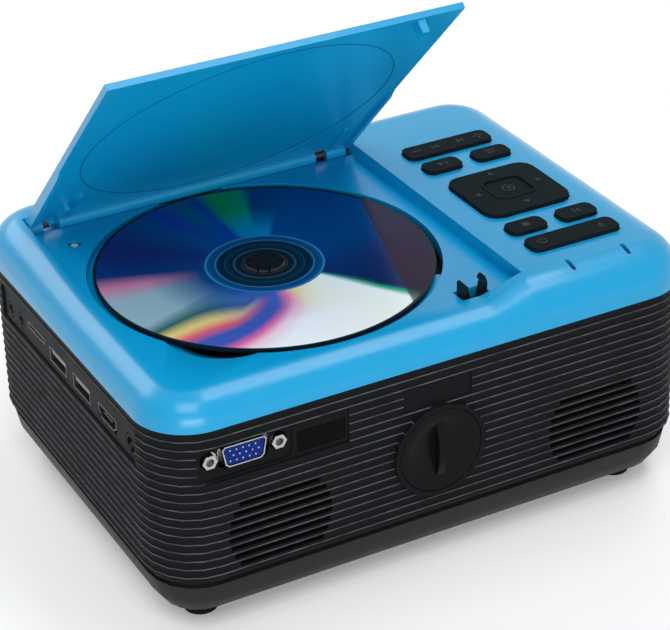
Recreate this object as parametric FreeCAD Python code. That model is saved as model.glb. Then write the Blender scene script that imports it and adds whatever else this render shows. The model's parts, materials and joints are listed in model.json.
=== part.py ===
import FreeCAD, Part
import math
import os

os.makedirs("parts", exist_ok=True)
V = FreeCAD.Vector
X_AXIS = V(1, 0, 0)
Y_AXIS = V(0, 1, 0)
Z_AXIS = V(0, 0, 1)

# Housing, overall
LEFT_MARGIN = 11.9
RIGHT_MARGIN = 18.5
WELL_FRONT = 11.1
HINGE_BACK = 19.5
BODY_R = 20.0
WALL = 2.4
FOOT_H = 2.3
BASE_H = 19.3
BAND_H = 59.4
COVER_H = 11.5
PLATEAU_RISE = 5.0
BASE_INSET = 1.6
BASE_ROUND = 17.5
BASE_STEPS = 4
BAND_CHAMFER_H = 2.4
LOW_ROUND = 11.0
HIGH_ROUND = 14.0
DECK_T = 4.5
LOW_BEVEL = 5.0
HIGH_BEVEL = 8.0
RIM_SLOPE_DEG = 3.6
SEAT = 0.15
# Ribs of the side band
RIB_PITCH = 3.314
RIB_COUNT = 17
RIB_DEPTH = 0.5
RIB_FLANK = 0.6

# Roundings: small ones, and pieces out of sight, are made of a few flats
SMALL_ROUND = 6.0
SMALL_STEPS = 3
CORNER_STEPS = 5
ROD_SIDES = 12
WIDE_SIDES = 24
LENS_SIDES = 36
# Feet and the posts above them
FOOT_R = 6.0
FOOT_SINK = 1.2
POST_R = 3.6
WEB_T = 1.6
# Disc and well
WELL_GAP = 2.3
DISC_SINK = 0.2
DISC_R = 60.0
DISC_BORE_R = 7.5
DISC_T = 1.2
LEDGE_W = 6.3
LEDGE_SINK = 2.7
PAD_DROP = 10.5
OPEN_FROM_DEG = -34.0
OPEN_TO_DEG = 90.0
SCOOP_DEG = -134.0
SCOOP_IN = 17.4
SCOOP_RIM_R = 22.3
SCOOP_DEPTH = 8.0
# Lid and hinge
RECESS_LEFT = 1.3
RECESS_RIGHT = 5.9
RECESS_LAP = 3.0
RECESS_BACK = 3.8
RAMP_L = 17.2
HINGE_GAP = 1.8
HINGE_RISE = 1.3
LID_OPEN_DEG = 45.7
LID_GAP = 0.5
LID_LAP = 0.4
LID_T = 2.3
LID_RISE_FRONT = 2.6
LID_RISE_BACK = 4.4
SKIRT_W = 1.8
SKIRT_CLEAR = 0.3
SKIRT_STEP_Y = 9.5
KNUCKLE_L = 5.6
KNUCKLE_NEAR = 12.1
KNUCKLE_FAR = 15.2
KNUCKLE_SHORT = 8.0
KNUCKLE_END = 2.4
KNUCKLE_R = 3.1
TROUGH_R = 3.6
TROUGH_WALL = 1.6
PIN_LEFT_L = 8.6
PIN_RIGHT_L = 17.2
PIN_R = 1.0
PIN_GAP = 0.06
PIN_END = 4.8
SPRING_WIRE_R = 0.3
SPRING_COIL_R = 2.1
STRIKE_W = 2.8
STRIKE_L = 5.0
STRIKE_DROP = 5.0
# Latch
LATCH_IN = 17.25
LATCH_BACK = 3.9
LATCH_H = 21.5
JAW_PIVOT_DROP = 6.0
LATCH_HOLE_L = 11.3
LATCH_HOLE_W = 6.8
LATCH_WALL = 1.6
LATCH_TRAVEL = 6.0
JAW_PIVOT_DX = 2.8
JAW_W = 3.8
# Jaw outlines about their pins: x, z
LEFT_JAW = ((-1.6, -1.4), (1.2, -1.4), (1.0, 5.0), (0.0, 9.8), (-1.2, 11.1), (-2.1, 10.7), (-2.2, 7.0),
            (-1.5, 2.5))
RIGHT_JAW = ((-1.2, -1.4), (1.6, -1.4), (1.7, 3.5), (2.2, 9.3), (1.4, 11.9), (0.2, 10.9), (0.3, 9.9),
             (0.9, 9.3), (0.0, 5.0))
# Keys
PANEL_GAP = 10.8
PANEL_L = 36.0
BAR_FRONT = 22.5
BAR_W = 9.2
PAIR_FRONT = 36.5
PAIR_L = 15.0
PAIR_W = 8.4
DPAD_FRONT = 51.3
DPAD_IN = 0.4
DPAD_W = 33.6
OK_FRONT = 10.9
OK_LEFT = 11.2
OK_L = 14.4
OK_W = 13.4
PAIR_BACK = 93.5
BAR_BACK = 107.2
KEY_PROUD = 1.5
KEY_GAP = 0.35
KEY_TRAVEL = 0.7
KEY_FLANGE = 0.8
KEY_FLANGE_T = 1.2
KEY_R = 2.6
MAT_T = 0.9
MAT_DOME_H = 1.2
KEY_BOARD_T = 1.6
LED_LEFT = 7.0
LED_RIGHT = 6.3
LED_BACK = 10.9
LED_L = 6.0
LED_W = 1.6
# Ports on the short left face
BAY_END = 20.1
BAY_DROP = 5.6
BAY_H = 13.2
BAY_DEPTH = 1.1
PANEL_T = 1.4
PORT_RISE = 5.5
BOARD_DROP = 4.2
BOARD_DIAL_GAP = 4.3
BOARD_FRONT = 8.5
BOARD_BACK = 18.5
POST_LEFT = 23.6
POST_RIGHT = 6.0
POST_SIDE = 9.6
POST_FRONT = 26.0
POST_BACK = 8.0
BOARD_T = 1.6
# Display socket and receiver window on the long near face
VGA_IN = 30.15
VGA_RISE = 1.7
VGA_SCREW_PITCH = 24.99
FLAT_DEPTH = 0.8
VGA_BAY_DEPTH = 1.4
IR_IN = 58.3
IR_DROP = 1.0
IR_L = 18.0
IR_H = 8.0
LABEL_SHIFT = 0.4
LABEL_DROP = 6.7
LABEL_H = 9.1
LABEL_L = 26.4
# Keystone dial
DIAL_IN = 102.8
DIAL_RISE = 25.7
DIAL_RING_R = 17.6
DIAL_HOLE_R = 15.9
DIAL_R = 15.6
DIAL_PROUD = 1.5
DIAL_SHAFT_R = 2.5
CRANK_R = 2.5
CRANK_PIN_R = 1.2
TILT_ARM = 17.0
# Speakers
SPEAKER_IN = 42.3
SPEAKER_RISE = 17.6
GRILLE_DROP = 1.3
SPEAKER_R = 15.0
GRILLE_R = 19.2
GRILLE_FIRST = 9
GRILLE_ROWS = 8
SLOT_H = 1.9
SLOT_GAP = 0.35
# Fan
FAN_RIM = 2.4
FAN_LIFT = 0.3
FAN_T = 12.0
FAN_ROTOR_R = 22.6
FAN_HUB_R = 10.0
FAN_BLADES = 5
VENT_FIRST = 4
VENT_ROWS = 12
# Light engine
AXIS_STEP = 35.7
AXIS_RISE = 23.9
ENGINE_HALF = 20.5
ENGINE_L = 68.0
ENGINE_BACK = 36.5
ENGINE_WALL = 1.8
TILT_BACK = 28.0
LCD_HALF_L = 15.0
LCD_HALF_H = 12.0
TUBE_R = 17.0
TUBE_L = 20.0
BARREL_R = 14.8
BARREL_WALL = 2.2
BARREL_IN = 4.0
BARREL_L = 35.0
FOCUS_R = 18.6
FOCUS_IN = 7.5
FOCUS_PROUD = 2.95
FOCUS_CLEAR = 0.35
SLIDE_CLEAR = 0.08
# Drive
TRAY_GAP = 0.8
TRAY_DROP = 8.1
TRAY_T = 1.8
MOTOR_R = 12.0
HUB_R = 7.3
TABLE_R = 14.0
SLED_SPARE = 2.0
SCREW_LINE = 26.0
SLED_START = 24.0
SLED_IN = 7.0
SLED_OUT = 9.0
ROD_R = 1.5
ROD_DY = 17.0
ROD_DROP = 3.8
MOUNT_OUT = 7.0
MOUNT_DEG = (45, 155, 200, -62)
DPAD_R = 5.5
# Lid switch and drive hangers
SWITCH_IN = 11.65
SWITCH_FRONT = 16.9
SWITCH_HOLE_R = 2.5
SWITCH_PIN_R = 1.3
EAR_R = 4.6
HANGER_R = 2.4
BOSS_R = 2.4
# Cut-outs of the side band
VGA_FIELD_IN = 11.3
VGA_FIELD_DROP = 8.4
VGA_FIELD_RISE = 4.8
VGA_BAY_L = 17.55
VGA_BAY_R = 3.0
IR_FIELD_L = 10.2
IR_R = 0.6
VGA_HOLE_L = 18.6
VGA_HOLE_H = 9.6
VGA_HOLE_R = 2.6
JACKSCREW_HOLE_R = 3.3
LENS_COLLAR_R = 21.2
COLLAR_DEPTH = 9.0
LIP_T = 1.4
SPEAKER_FLANGE_T = 1.2
# Base
INLET_IN = 34.5
INLET_Y = 8.0
INLET_PITCH = 5.0
INLET_W = 2.2
INLET_L = 44.0
INLET_COUNT = 11
BEARING_BACK = 11.0
# Lid details
HINGE_RIB_LEFT = 15.1
HINGE_RIB_RIGHT = 9.7
HINGE_RIB_L = 23.0
HINGE_RIB_H = 0.9
# Latch details
LATCH_SIDE = 0.35
JAW_PIN_R = 0.7
# Key details
BOSS_IN = 3.0
KEY_BOSS_BACK = 4.0
KEY_BOSS_FRONT = 10.0
KEY_EDGE = 0.5
OK_SINK = 0.4
OK_RIM_W = 1.2
OK_RIM_H = 0.3
OK_FLANGE_DROP = 1.1
OK_ROCK = 0.5
DPAD_DROP = 0.8
DOME_R = 2.4
DPAD_DOME = 12.8
KEY_BOARD_LEFT = 6.0
KEY_BOARD_RIGHT = 2.8
KEY_BOARD_FRONT = 6.5
KEY_BOARD_BACK = 10.0
MAT_LEFT = 1.4
MAT_RIGHT = 1.9
MAT_FRONT = 2.0
MAT_BACK = 2.0
# Sockets
PORT_GAP = 0.25
METAL_T = 0.4
# Gaps of the port row as shares of its free length, from the far end to the near one
PORT_SHARES = (0.0921, 0.1026, 0.0947, 0.1171, 0.1658, 0.1882, 0.2026)
USB_L = 14.5
USB_H = 5.7
USB_DEPTH = 13.0
USB_TONGUE = 1.0
HDMI_L = 14.6
HDMI_H = 5.2
HDMI_DEPTH = 11.0
CARD_L = 15.6
CARD_H = 2.2
CARD_RISE = 1.9
CARD_DEPTH = 15.0
JACK_R = 2.9
JACK_BORE_R = 1.78
JACK_DEPTH = 11.0
DC_R = 4.0
DC_BORE_R = 2.8
DC_PIN_R = 1.0
DC_DEPTH = 9.0
# Chips on the main board: place from its corner in x and y, then length, width and height
CHIPS = [(40.5, 80.0, 24.0, 24.0, 1.6), (40.5, 48.0, 14.0, 20.0, 1.2), (72.5, 90.0, 10.0, 10.0, 1.2),
         (72.5, 64.0, 12.0, 12.0, 6.0)]
# Display socket
VGA_SHELL_L = 16.4
VGA_SHELL_H = 7.9
VGA_LEAN = 1.4
VGA_FLANGE_IN = 5.1
VGA_FLANGE_L = 30.8
VGA_FLANGE_H = 12.5
VGA_FRONT_IN = 0.2
VGA_BODY_IN = 15.5
JACKSCREW_R = 2.75
JACK_THREAD_R = 1.42
VGA_SINK = 0.5
# Keystone train
DIAL_BACK_T = 1.6
DIAL_LIP = 1.2
DIAL_DISH = 2.6
DIAL_BEVEL = 0.8
FIN_PROUD = 1.6
FIN_T = 3.0
SHAFT_PRESS = 1.2
CRANK_T = 3.0
CRANK_GAP = 1.6
CRANK_PIN_L = 4.5
FORK_T = 2.4
FORK_GAP = 0.35
# Light engine details
TILT_PIN_R = 1.6
CONDENSER_BACK = 28.0
LENS_T = 2.6
LENS_SEAT_R = 17.0
CONDENSER_RISE = 4.0
SINK_T = 3.0
FIN_L = 14.0
SINK_FINS = 9
SINK_FIN_T = 1.4
LAMP_HALF = 11.0
LAMP_T = 1.4
LAMP_CHIP = 7.0
FRAME_W = 2.2
FRAME_T = 2.6
LCD_T = 0.9
LEVER_GAP = 0.6
FORK_R = 3.2
FORK_Y = 1.0
CRANK_SLOT = 2.6
# Lens details
MOUTH_L = 3.0
GLASS_T = 3.0
FOCUS_NOTCHES = 24
NOTCH_DEPTH = 0.7
# Speaker details
SPEAKER_TAB = 2.6
SPEAKER_TAB_X = 18.0
STUD_R = 1.3
MAGNET_R = 9.0
MAGNET_H = 5.0
BASKET_H = 6.5
# Fan details
FAN_TIP_GAP = 0.7
SPOKE_T = 1.6
FAN_AXLE_R = 1.2
BLADE_T = 1.1
BLADE_W = 10.0
BLADE_PITCH = 48.0
# Turntable and spindle
TABLE_T = 1.6
HUB_RISE = 0.8
HUB_CHAMFER = 0.6
CLAWS = 3
CLAW_W = 4.0
CLAW_SLIT = 0.7
SHAFT_R = 0.95
MOTOR_DROP = 7.4
MOTOR_GAP = 0.9
MOTOR_FLANGE = 1.6
MOTOR_FLANGE_T = 1.2
SHAFT_SINK = 1.0
# Drive details
SLOT_HALF = 12.0
SLED_STOP = 0.5
TRAY_WING = 33.0
RAIL_T = 2.4
LEAD_R = 1.5
LEAD_OUT = 2.0
SLED_MOTOR_R = 6.0
SLED_MOTOR_L = 14.0
SLED_GAP = 3.9
OBJECTIVE_RISE = 1.4
OBJECTIVE_R = 3.6
OBJECTIVE_GAP = 0.5
OBJECTIVE_SINK = 2.6
SWITCH_DROP = 6.5
SWITCH_PIN_SINK = 0.5
SWITCH_H = 8.6
SWITCH_L = 6.0
SWITCH_TRAVEL = 1.0
# Overall sizes and places that follow from the sizes above
WELL_R = DISC_R + WELL_GAP
BODY_L = LEFT_MARGIN + RECESS_LEFT + 2 * WELL_R + RECESS_RIGHT + PANEL_GAP + PANEL_L + RIGHT_MARGIN
BODY_W = WELL_FRONT + 2 * WELL_R + HINGE_GAP + HINGE_BACK
LEFT_X = -BODY_L / 2
RIGHT_X = BODY_L / 2
FRONT_Y = -BODY_W / 2
BACK_Y = BODY_W / 2
BASE_TOP = FOOT_H + BASE_H
SEAM_Z = BASE_TOP + BAND_H
DECK_Z = SEAM_Z + COVER_H
PLATEAU_Z = DECK_Z + PLATEAU_RISE
FOOT_X = BODY_L / 2 - BODY_R
FOOT_Y = BODY_W / 2 - BODY_R
POST_TOP = DECK_Z - DECK_T
# Disc bay
DISC_X = LEFT_X + LEFT_MARGIN + RECESS_LEFT + WELL_R
DISC_Y = FRONT_Y + WELL_FRONT + WELL_R
DISC_TOP = DECK_Z - DISC_SINK
DISC_BOTTOM = DISC_TOP - DISC_T
LEDGE_R = WELL_R - LEDGE_W
LEDGE_TOP = DISC_TOP - LEDGE_SINK
PAD_BOTTOM = DECK_Z - PAD_DROP
SCOOP_DIST = WELL_R - SCOOP_IN
RECESS_X0 = LEFT_X + LEFT_MARGIN
RECESS_X1 = DISC_X + WELL_R + RECESS_RIGHT
RECESS_Y0 = FRONT_Y + WELL_FRONT + RECESS_LAP
HINGE_Y = DISC_Y + WELL_R + HINGE_GAP
HINGE_Z = DECK_Z + HINGE_RISE
RECESS_Y1 = HINGE_Y + RECESS_BACK
RAMP_X0 = RECESS_X1 - RAMP_L
LID_FRONT = HINGE_Y - RECESS_Y0 - LID_LAP
LID_TOP_FRONT = DECK_Z + LID_RISE_FRONT
LID_TOP_BACK = DECK_Z + LID_RISE_BACK
KNUCKLES = [(RECESS_X0 + LID_GAP, RECESS_X0 + KNUCKLE_L), (RECESS_X0 + KNUCKLE_NEAR, RECESS_X1 - KNUCKLE_FAR),
            (RECESS_X1 - KNUCKLE_END - KNUCKLE_SHORT, RECESS_X1 - KNUCKLE_END)]
HINGE_RIB_X = (RECESS_X0 + HINGE_RIB_LEFT, RECESS_X1 - HINGE_RIB_RIGHT)
PIN_LEFT_END = RECESS_X0 + PIN_LEFT_L
PIN_RIGHT_START = RECESS_X1 - PIN_RIGHT_L
LATCH_X = RECESS_X1 - LATCH_IN
LATCH_Y = RECESS_Y0 + LATCH_BACK
LATCH_BOTTOM = DECK_Z - LATCH_H
JAW_PIVOT_Z = DECK_Z - JAW_PIVOT_DROP
SWITCH_X = RECESS_X0 + SWITCH_IN
SWITCH_Y = HINGE_Y - SWITCH_FRONT
SWITCH_TOP = DECK_Z - SWITCH_DROP
SWITCH_PIN_TOP = DECK_Z - SWITCH_PIN_SINK
# Key panel
KEYS_X0 = RECESS_X1 + PANEL_GAP
KEYS_X1 = KEYS_X0 + PANEL_L
KEY_TOP = PLATEAU_Z + KEY_PROUD
PLATEAU_IN = PLATEAU_Z - WALL
FLANGE_TOP = PLATEAU_IN - KEY_GAP / 3
OK_FLANGE_TOP = FLANGE_TOP - OK_FLANGE_DROP
KEY_BOTTOM = FLANGE_TOP - KEY_FLANGE_T - KEY_TRAVEL
DOME_TOP = KEY_BOTTOM - KEY_TRAVEL - KEY_GAP / 3
MAT_TOP = DOME_TOP - MAT_DOME_H
KEY_BOARD_TOP = MAT_TOP - MAT_T
KEY_BOARD_BOTTOM = KEY_BOARD_TOP - KEY_BOARD_T
LED_X = (KEYS_X0 + LED_LEFT, KEYS_X1 - LED_RIGHT)
LED_Y = FRONT_Y + LED_BACK
# Key rectangles: x from, x to, y from, y to
BAR_FRONT_Y = FRONT_Y + BAR_FRONT
PAIR_FRONT_Y = FRONT_Y + PAIR_FRONT
DPAD_Y = FRONT_Y + DPAD_FRONT
OK_Y = DPAD_Y + OK_FRONT
OK_X = KEYS_X0 + OK_LEFT
PAIR_BACK_Y = FRONT_Y + PAIR_BACK
BAR_BACK_Y = FRONT_Y + BAR_BACK
KEYS = {
    "key_top_bar": (KEYS_X0, KEYS_X1, BAR_BACK_Y, BAR_BACK_Y + BAR_W),
    "key_top_left": (KEYS_X0, KEYS_X0 + PAIR_L, PAIR_BACK_Y, PAIR_BACK_Y + PAIR_W),
    "key_top_right": (KEYS_X1 - PAIR_L, KEYS_X1, PAIR_BACK_Y, PAIR_BACK_Y + PAIR_W),
    "dpad": (KEYS_X0 + DPAD_IN, KEYS_X1 - DPAD_IN, DPAD_Y, DPAD_Y + DPAD_W),
    "key_bottom_left": (KEYS_X0 + DPAD_IN, KEYS_X0 + DPAD_IN + PAIR_L, PAIR_FRONT_Y, PAIR_FRONT_Y + PAIR_W),
    "key_bottom_right": (KEYS_X1 + DPAD_IN - PAIR_L, KEYS_X1 + DPAD_IN, PAIR_FRONT_Y, PAIR_FRONT_Y + PAIR_W),
    "key_bottom_bar": (KEYS_X0 + DPAD_IN, KEYS_X1 + DPAD_IN, BAR_FRONT_Y, BAR_FRONT_Y + BAR_W),
}
OK_KEY = (OK_X, OK_X + OK_L, OK_Y, OK_Y + OK_W)
KEY_BOARD_X0 = KEYS_X0 - KEY_BOARD_LEFT
KEY_BOARD_X1 = KEYS_X1 + KEY_BOARD_RIGHT
KEY_BOARD_Y0 = FRONT_Y + KEY_BOARD_FRONT
KEY_BOARD_Y1 = BAR_BACK_Y + BAR_W + KEY_BOARD_BACK
KEY_POSTS = [(KEYS_X0 - BOSS_IN, KEY_BOARD_Y1 - KEY_BOSS_BACK), (KEYS_X1, KEY_BOARD_Y1 - KEY_BOSS_BACK),
             (KEYS_X0 - BOSS_IN, KEY_BOARD_Y0 + KEY_BOSS_FRONT), (KEYS_X1, KEY_BOARD_Y0 + KEY_BOSS_FRONT)]
MAT_X0 = KEYS_X0 - MAT_LEFT
MAT_X1 = KEYS_X1 + MAT_RIGHT
MAT_Y0 = BAR_FRONT_Y - MAT_FRONT
MAT_Y1 = BAR_BACK_Y + BAR_W + MAT_BACK
# Ports, and the board that carries them
BAY_Y0 = FRONT_Y + BAY_END
BAY_Y1 = BACK_Y - BAY_END
BAY_Z1 = SEAM_Z - BAY_DROP
BAY_Z0 = BAY_Z1 - BAY_H
PORT_Z = BAY_Z0 + PORT_RISE
CARD_Z = PORT_Z + CARD_RISE
BOARD_TOP = PORT_Z - BOARD_DROP
BOARD_BOTTOM = BOARD_TOP - BOARD_T
DIAL_X = LEFT_X + DIAL_IN
DIAL_Z = BASE_TOP + DIAL_RISE
BOARD_X0 = LEFT_X + WALL + PANEL_T + SEAT
BOARD_X1 = DIAL_X - BOARD_DIAL_GAP
BOARD_Y0 = FRONT_Y + BOARD_FRONT
BOARD_Y1 = BACK_Y - BOARD_BACK
BOARD_POSTS = [(BOARD_X0 + POST_LEFT, BOARD_Y1 - POST_BACK), (BOARD_X1 - POST_RIGHT, BOARD_Y1 - POST_BACK),
               (BOARD_X0 + POST_SIDE, BOARD_Y0 + POST_FRONT), (BOARD_X1 - POST_RIGHT, BOARD_Y0 + POST_BACK)]
VGA_X = LEFT_X + VGA_IN
VGA_Z = PORT_Z + VGA_RISE
VGA_FIELD_X0 = LEFT_X + VGA_FIELD_IN
VGA_FIELD_Z0 = VGA_Z - VGA_FIELD_DROP
VGA_FIELD_Z1 = VGA_Z + VGA_FIELD_RISE
VGA_BAY_X1 = VGA_X + VGA_BAY_L
VGA_FLANGE_Y = FRONT_Y + VGA_FLANGE_IN
VGA_FRONT_Y = FRONT_Y + VGA_FRONT_IN
VGA_BODY_Y = FRONT_Y + VGA_BODY_IN
IR_X = LEFT_X + IR_IN
IR_Z = PORT_Z - IR_DROP
IR_FIELD_X1 = IR_X + IR_FIELD_L
LABEL_X = DIAL_X - LABEL_SHIFT
LABEL_Z1 = SEAM_Z - LABEL_DROP
LABEL_Z0 = LABEL_Z1 - LABEL_H
# Speakers, fan and base
SPEAKER_X = RIGHT_X - SPEAKER_IN
SPEAKER_Z = BASE_TOP + SPEAKER_RISE
GRILLE_Z = SPEAKER_Z - GRILLE_DROP
FAN_SIZE = 2 * (FAN_ROTOR_R + FAN_RIM)
FAN_Z = BASE_TOP + BAND_CHAMFER_H + FAN_LIFT + FAN_SIZE / 2
INLET_X = LEFT_X + INLET_IN
# Light engine and lens
AXIS_X = DIAL_X + AXIS_STEP
AXIS_Z = BASE_TOP + AXIS_RISE
ENGINE_Y1 = BACK_Y - ENGINE_BACK
ENGINE_Y0 = ENGINE_Y1 - ENGINE_L
ENGINE_FLOOR = AXIS_Z - ENGINE_HALF
ENGINE_FEET = [(AXIS_X + side * (ENGINE_HALF + POST_R), y)
               for side in (-1, 1) for y in (ENGINE_Y0 + 2 * POST_R, ENGINE_Y1 - 2 * POST_R)]
TILT_Y = ENGINE_Y1 - TILT_BACK
CONDENSER_Y = TILT_Y - CONDENSER_BACK
BEARING_Y = TILT_Y - TILT_ARM - BEARING_BACK
TUBE_Y1 = ENGINE_Y1 + TUBE_L
BARREL_Y0 = ENGINE_Y1 + BARREL_IN
BARREL_Y1 = BARREL_Y0 + BARREL_L
FOCUS_Y0 = BACK_Y - FOCUS_IN
FOCUS_Y1 = BACK_Y + FOCUS_PROUD
# Drive
TRAY_R = WELL_R - TRAY_GAP
TRAY_Z = DECK_Z - TRAY_DROP
ROD_Z = TRAY_Z - ROD_DROP
MOUNT_R = WELL_R + MOUNT_OUT
SLED_TRAVEL = DISC_R - SLED_START - SLED_SPARE
RAIL_X = (DISC_X + SLED_START - SLED_IN - RAIL_T - SLED_STOP,
          DISC_X + SLED_START + SLED_TRAVEL + SLED_OUT + SLED_STOP)
SCREW_LINE_Y = DISC_Y - SCREW_LINE
HUB_TOP = DISC_TOP + HUB_RISE
MOTOR_Z0 = TRAY_Z - MOTOR_DROP
MOTOR_Z1 = DISC_BOTTOM - TABLE_T - MOTOR_GAP
SLED_TOP = DISC_BOTTOM - SLED_GAP
OBJECTIVE_TOP = SLED_TOP + OBJECTIVE_RISE


def box(x0, x1, y0, y1, z0, z1):
    return Part.makeBox(x1 - x0, y1 - y0, z1 - z0, V(x0, y0, z0))


def block(cx, cy, lx, ly, z0, z1):
    return box(cx - lx / 2, cx + lx / 2, cy - ly / 2, cy + ly / 2, z0, z1)


def cyl_z(x, y, r, z0, z1):
    return Part.makeCylinder(r, z1 - z0, V(x, y, z0), Z_AXIS)


def cyl_y(x, z, r, y0, y1):
    return Part.makeCylinder(r, y1 - y0, V(x, y0, z), Y_AXIS)


def cyl_x(y, z, r, x0, x1):
    return Part.makeCylinder(r, x1 - x0, V(x0, y, z), X_AXIS)


def outline(r, sides):
    """Regular outline with its corners on the circle of radius r."""
    turns = [2 * math.pi * i / sides for i in range(sides)]
    return [(r * math.cos(a), r * math.sin(a)) for a in turns]


def rod_z(x, y, r, z0, z1, sides=ROD_SIDES):
    """Many-sided bar, for pins, posts and motors out of sight."""
    pts = [V(x + a, y + b, z0) for a, b in outline(r, sides)]
    return Part.Face(Part.makePolygon(pts + pts[:1])).extrude(V(0, 0, z1 - z0))


def rod_y(x, z, r, y0, y1, sides=ROD_SIDES):
    pts = [V(x + a, y0, z + b) for a, b in outline(r, sides)]
    return Part.Face(Part.makePolygon(pts + pts[:1])).extrude(V(0, y1 - y0, 0))


def rod_x(y, z, r, x0, x1, sides=ROD_SIDES):
    pts = [V(x0, y + a, z + b) for a, b in outline(r, sides)]
    return Part.Face(Part.makePolygon(pts + pts[:1])).extrude(V(x1 - x0, 0, 0))


def taper_y(x, z, start, end, sides=ROD_SIDES):
    """Many-sided cone along Y from (radius, y) to (radius, y)."""
    low, high = [[V(x + a, y, z + b) for a, b in outline(r, sides)] for r, y in (start, end)]
    loops = [low, high]
    for i in range(sides):
        j = (i + 1) % sides
        loops.append([low[i], low[j], high[j], high[i]])
    solid = Part.makeSolid(Part.makeShell([Part.Face(Part.makePolygon(pts + pts[:1])) for pts in loops]))
    if solid.Volume < 0:
        solid.reverse()
    return solid


def around(r, sides=ROD_SIDES):
    """Corner radius of a many-sided hole that a round bar of radius r just enters."""
    return r / math.cos(math.pi / sides)


def fuse(shapes):
    first = shapes[0]
    if len(shapes) > 1:
        first = first.fuse(shapes[1:])
    return first.removeSplitter()


def corner_points(lx, ly, r, flats):
    """Corner rounding of a rectangle in a few flats, as points anticlockwise."""
    points = []
    for i, (sx, sy) in enumerate([(1, 1), (-1, 1), (-1, -1), (1, -1)]):
        for j in range(flats + 1):
            a = math.radians(90.0 * (i + j / flats))
            points.append((sx * (lx / 2 - r) + r * math.cos(a), sy * (ly / 2 - r) + r * math.sin(a)))
    return points


def rounded_wire(lx, ly, r, z, cx=0.0, cy=0.0):
    if r < SMALL_ROUND:
        pts = [V(cx + x, cy + y, z) for x, y in corner_points(lx, ly, r, SMALL_STEPS)]
        return Part.makePolygon(pts + pts[:1])
    edges = []
    points = [V(cx + x, cy + y, z) for x, y in corner_points(lx, ly, r, 2)]
    for i in range(0, len(points), 3):
        edges.append(Part.Arc(points[i], points[i + 1], points[i + 2]).toShape())
        edges.append(Part.makeLine(points[i + 2], points[(i + 3) % len(points)]))
    return Part.Wire(edges)


def prism(lx, ly, r, z0, z1, cx=0.0, cy=0.0):
    face = Part.Face(rounded_wire(lx, ly, r, z0, cx, cy))
    return face.extrude(V(0, 0, z1 - z0))


def edges_at(shape, z):
    return [e for e in shape.Edges if abs(e.BoundBox.ZMin - z) < 1e-5 and abs(e.BoundBox.ZMax - z) < 1e-5]


def domed_prism(lx, ly, r, z0, z1, rnd, cx=0.0, cy=0.0):
    body = prism(lx, ly, r, z0, z1, cx, cy)
    return body.makeFillet(rnd, edges_at(body, z1))


def yz_prism(points, x0, x1):
    pts = [V(x0, y, z) for y, z in points]
    return Part.Face(Part.makePolygon(pts + pts[:1])).extrude(V(x1 - x0, 0, 0))


def xz_prism(points, y0, y1):
    pts = [V(x, y0, z) for x, z in points]
    return Part.Face(Part.makePolygon(pts + pts[:1])).extrude(V(0, y1 - y0, 0))


def slot_y(x0, x1, z0, z1, r, y0, y1):
    """Bar along Y with a rounded rectangular section in XZ."""
    flat = prism(x1 - x0, z1 - z0, r, 0, y1 - y0, (x0 + x1) / 2, -(z0 + z1) / 2)
    flat.rotate(V(0, 0, 0), X_AXIS, -90)
    flat.translate(V(0, y0, 0))
    return flat


def polar(r, deg, cx=DISC_X, cy=DISC_Y):
    a = math.radians(deg)
    return cx + r * math.cos(a), cy + r * math.sin(a)


def corners(dx, dy, cx=0.0, cy=0.0):
    return [(cx + sx * dx, cy + sy * dy) for sx in (-1, 1) for sy in (-1, 1)]


def ring(x, y, r_out, r_in, z0, z1):
    return cyl_z(x, y, r_out, z0, z1).cut(cyl_z(x, y, r_in, z0, z1))


def frame_sweep(section, lx, ly, r):
    """Band round a rounded rectangle; section holds (inset, height) pairs of a closed outline."""
    rings = []
    for inset, z in section:
        pts = corner_points(lx - 2 * inset, ly - 2 * inset, r - inset, CORNER_STEPS)
        rings.append([V(x, y, z) for x, y in pts])
    faces = []
    count = len(rings[0])
    for low, high in zip(rings, rings[1:] + rings[:1]):
        for i in range(count):
            j = (i + 1) % count
            pts = [low[i], low[j], high[j], high[i]]
            faces.append(Part.Face(Part.makePolygon(pts + pts[:1])))
    band = Part.makeSolid(Part.makeShell(faces))
    if band.Volume < 0:
        band.reverse()
    return band


def crest(k):
    return SEAM_Z - RIB_PITCH * k


def port_places():
    """Middles of the ports along the bay: two jacks, card slot, two USB, HDMI and power."""
    lengths = (2 * JACK_R, 2 * JACK_R, CARD_L, USB_L, USB_L, HDMI_L, 2 * DC_R)
    free = BAY_Y1 - BAY_Y0 - sum(lengths)
    y = BAY_Y1
    places = []
    for length, share in zip(lengths, PORT_SHARES):
        y -= share * free + length
        places.append(y + length / 2)
    return places


PARTS = {}
MOUNT_POINTS = [polar(MOUNT_R, a) for a in MOUNT_DEG]
PORT_Y = port_places()
JACK_Y = PORT_Y[:2]
CARD_Y = PORT_Y[2]
USB_Y = PORT_Y[3:5]
HDMI_Y = PORT_Y[5]
DC_Y = PORT_Y[6]


def keep(name, shape):
    PARTS[name] = shape


def key_size(rect, grow):
    x0, x1, y0, y1 = rect
    return x1 - x0 + 2 * grow, y1 - y0 + 2 * grow, (x0 + x1) / 2, (y0 + y1) / 2


def key_prism(rect, grow, r, z0, z1):
    lx, ly, cx, cy = key_size(rect, grow)
    return prism(lx, ly, max(r + grow, 0.4), z0, z1, cx, cy)


def cover_form(inset, low_top, high_top, low_r, high_r, x_split, shape_edge):
    lx, ly, r = BODY_L - 2 * inset, BODY_W - 2 * inset, BODY_R - inset
    low = shape_edge(prism(lx, ly, r, SEAM_Z, low_top), low_r, low_top)
    high = shape_edge(prism(lx, ly, r, SEAM_Z, high_top), high_r, high_top)
    high = high.common(box(x_split, BODY_L, -BODY_W, BODY_W, 0, 2 * high_top))
    return low, high


def rounded_top(body, r, z):
    return body.makeFillet(r, edges_at(body, z))


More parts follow.
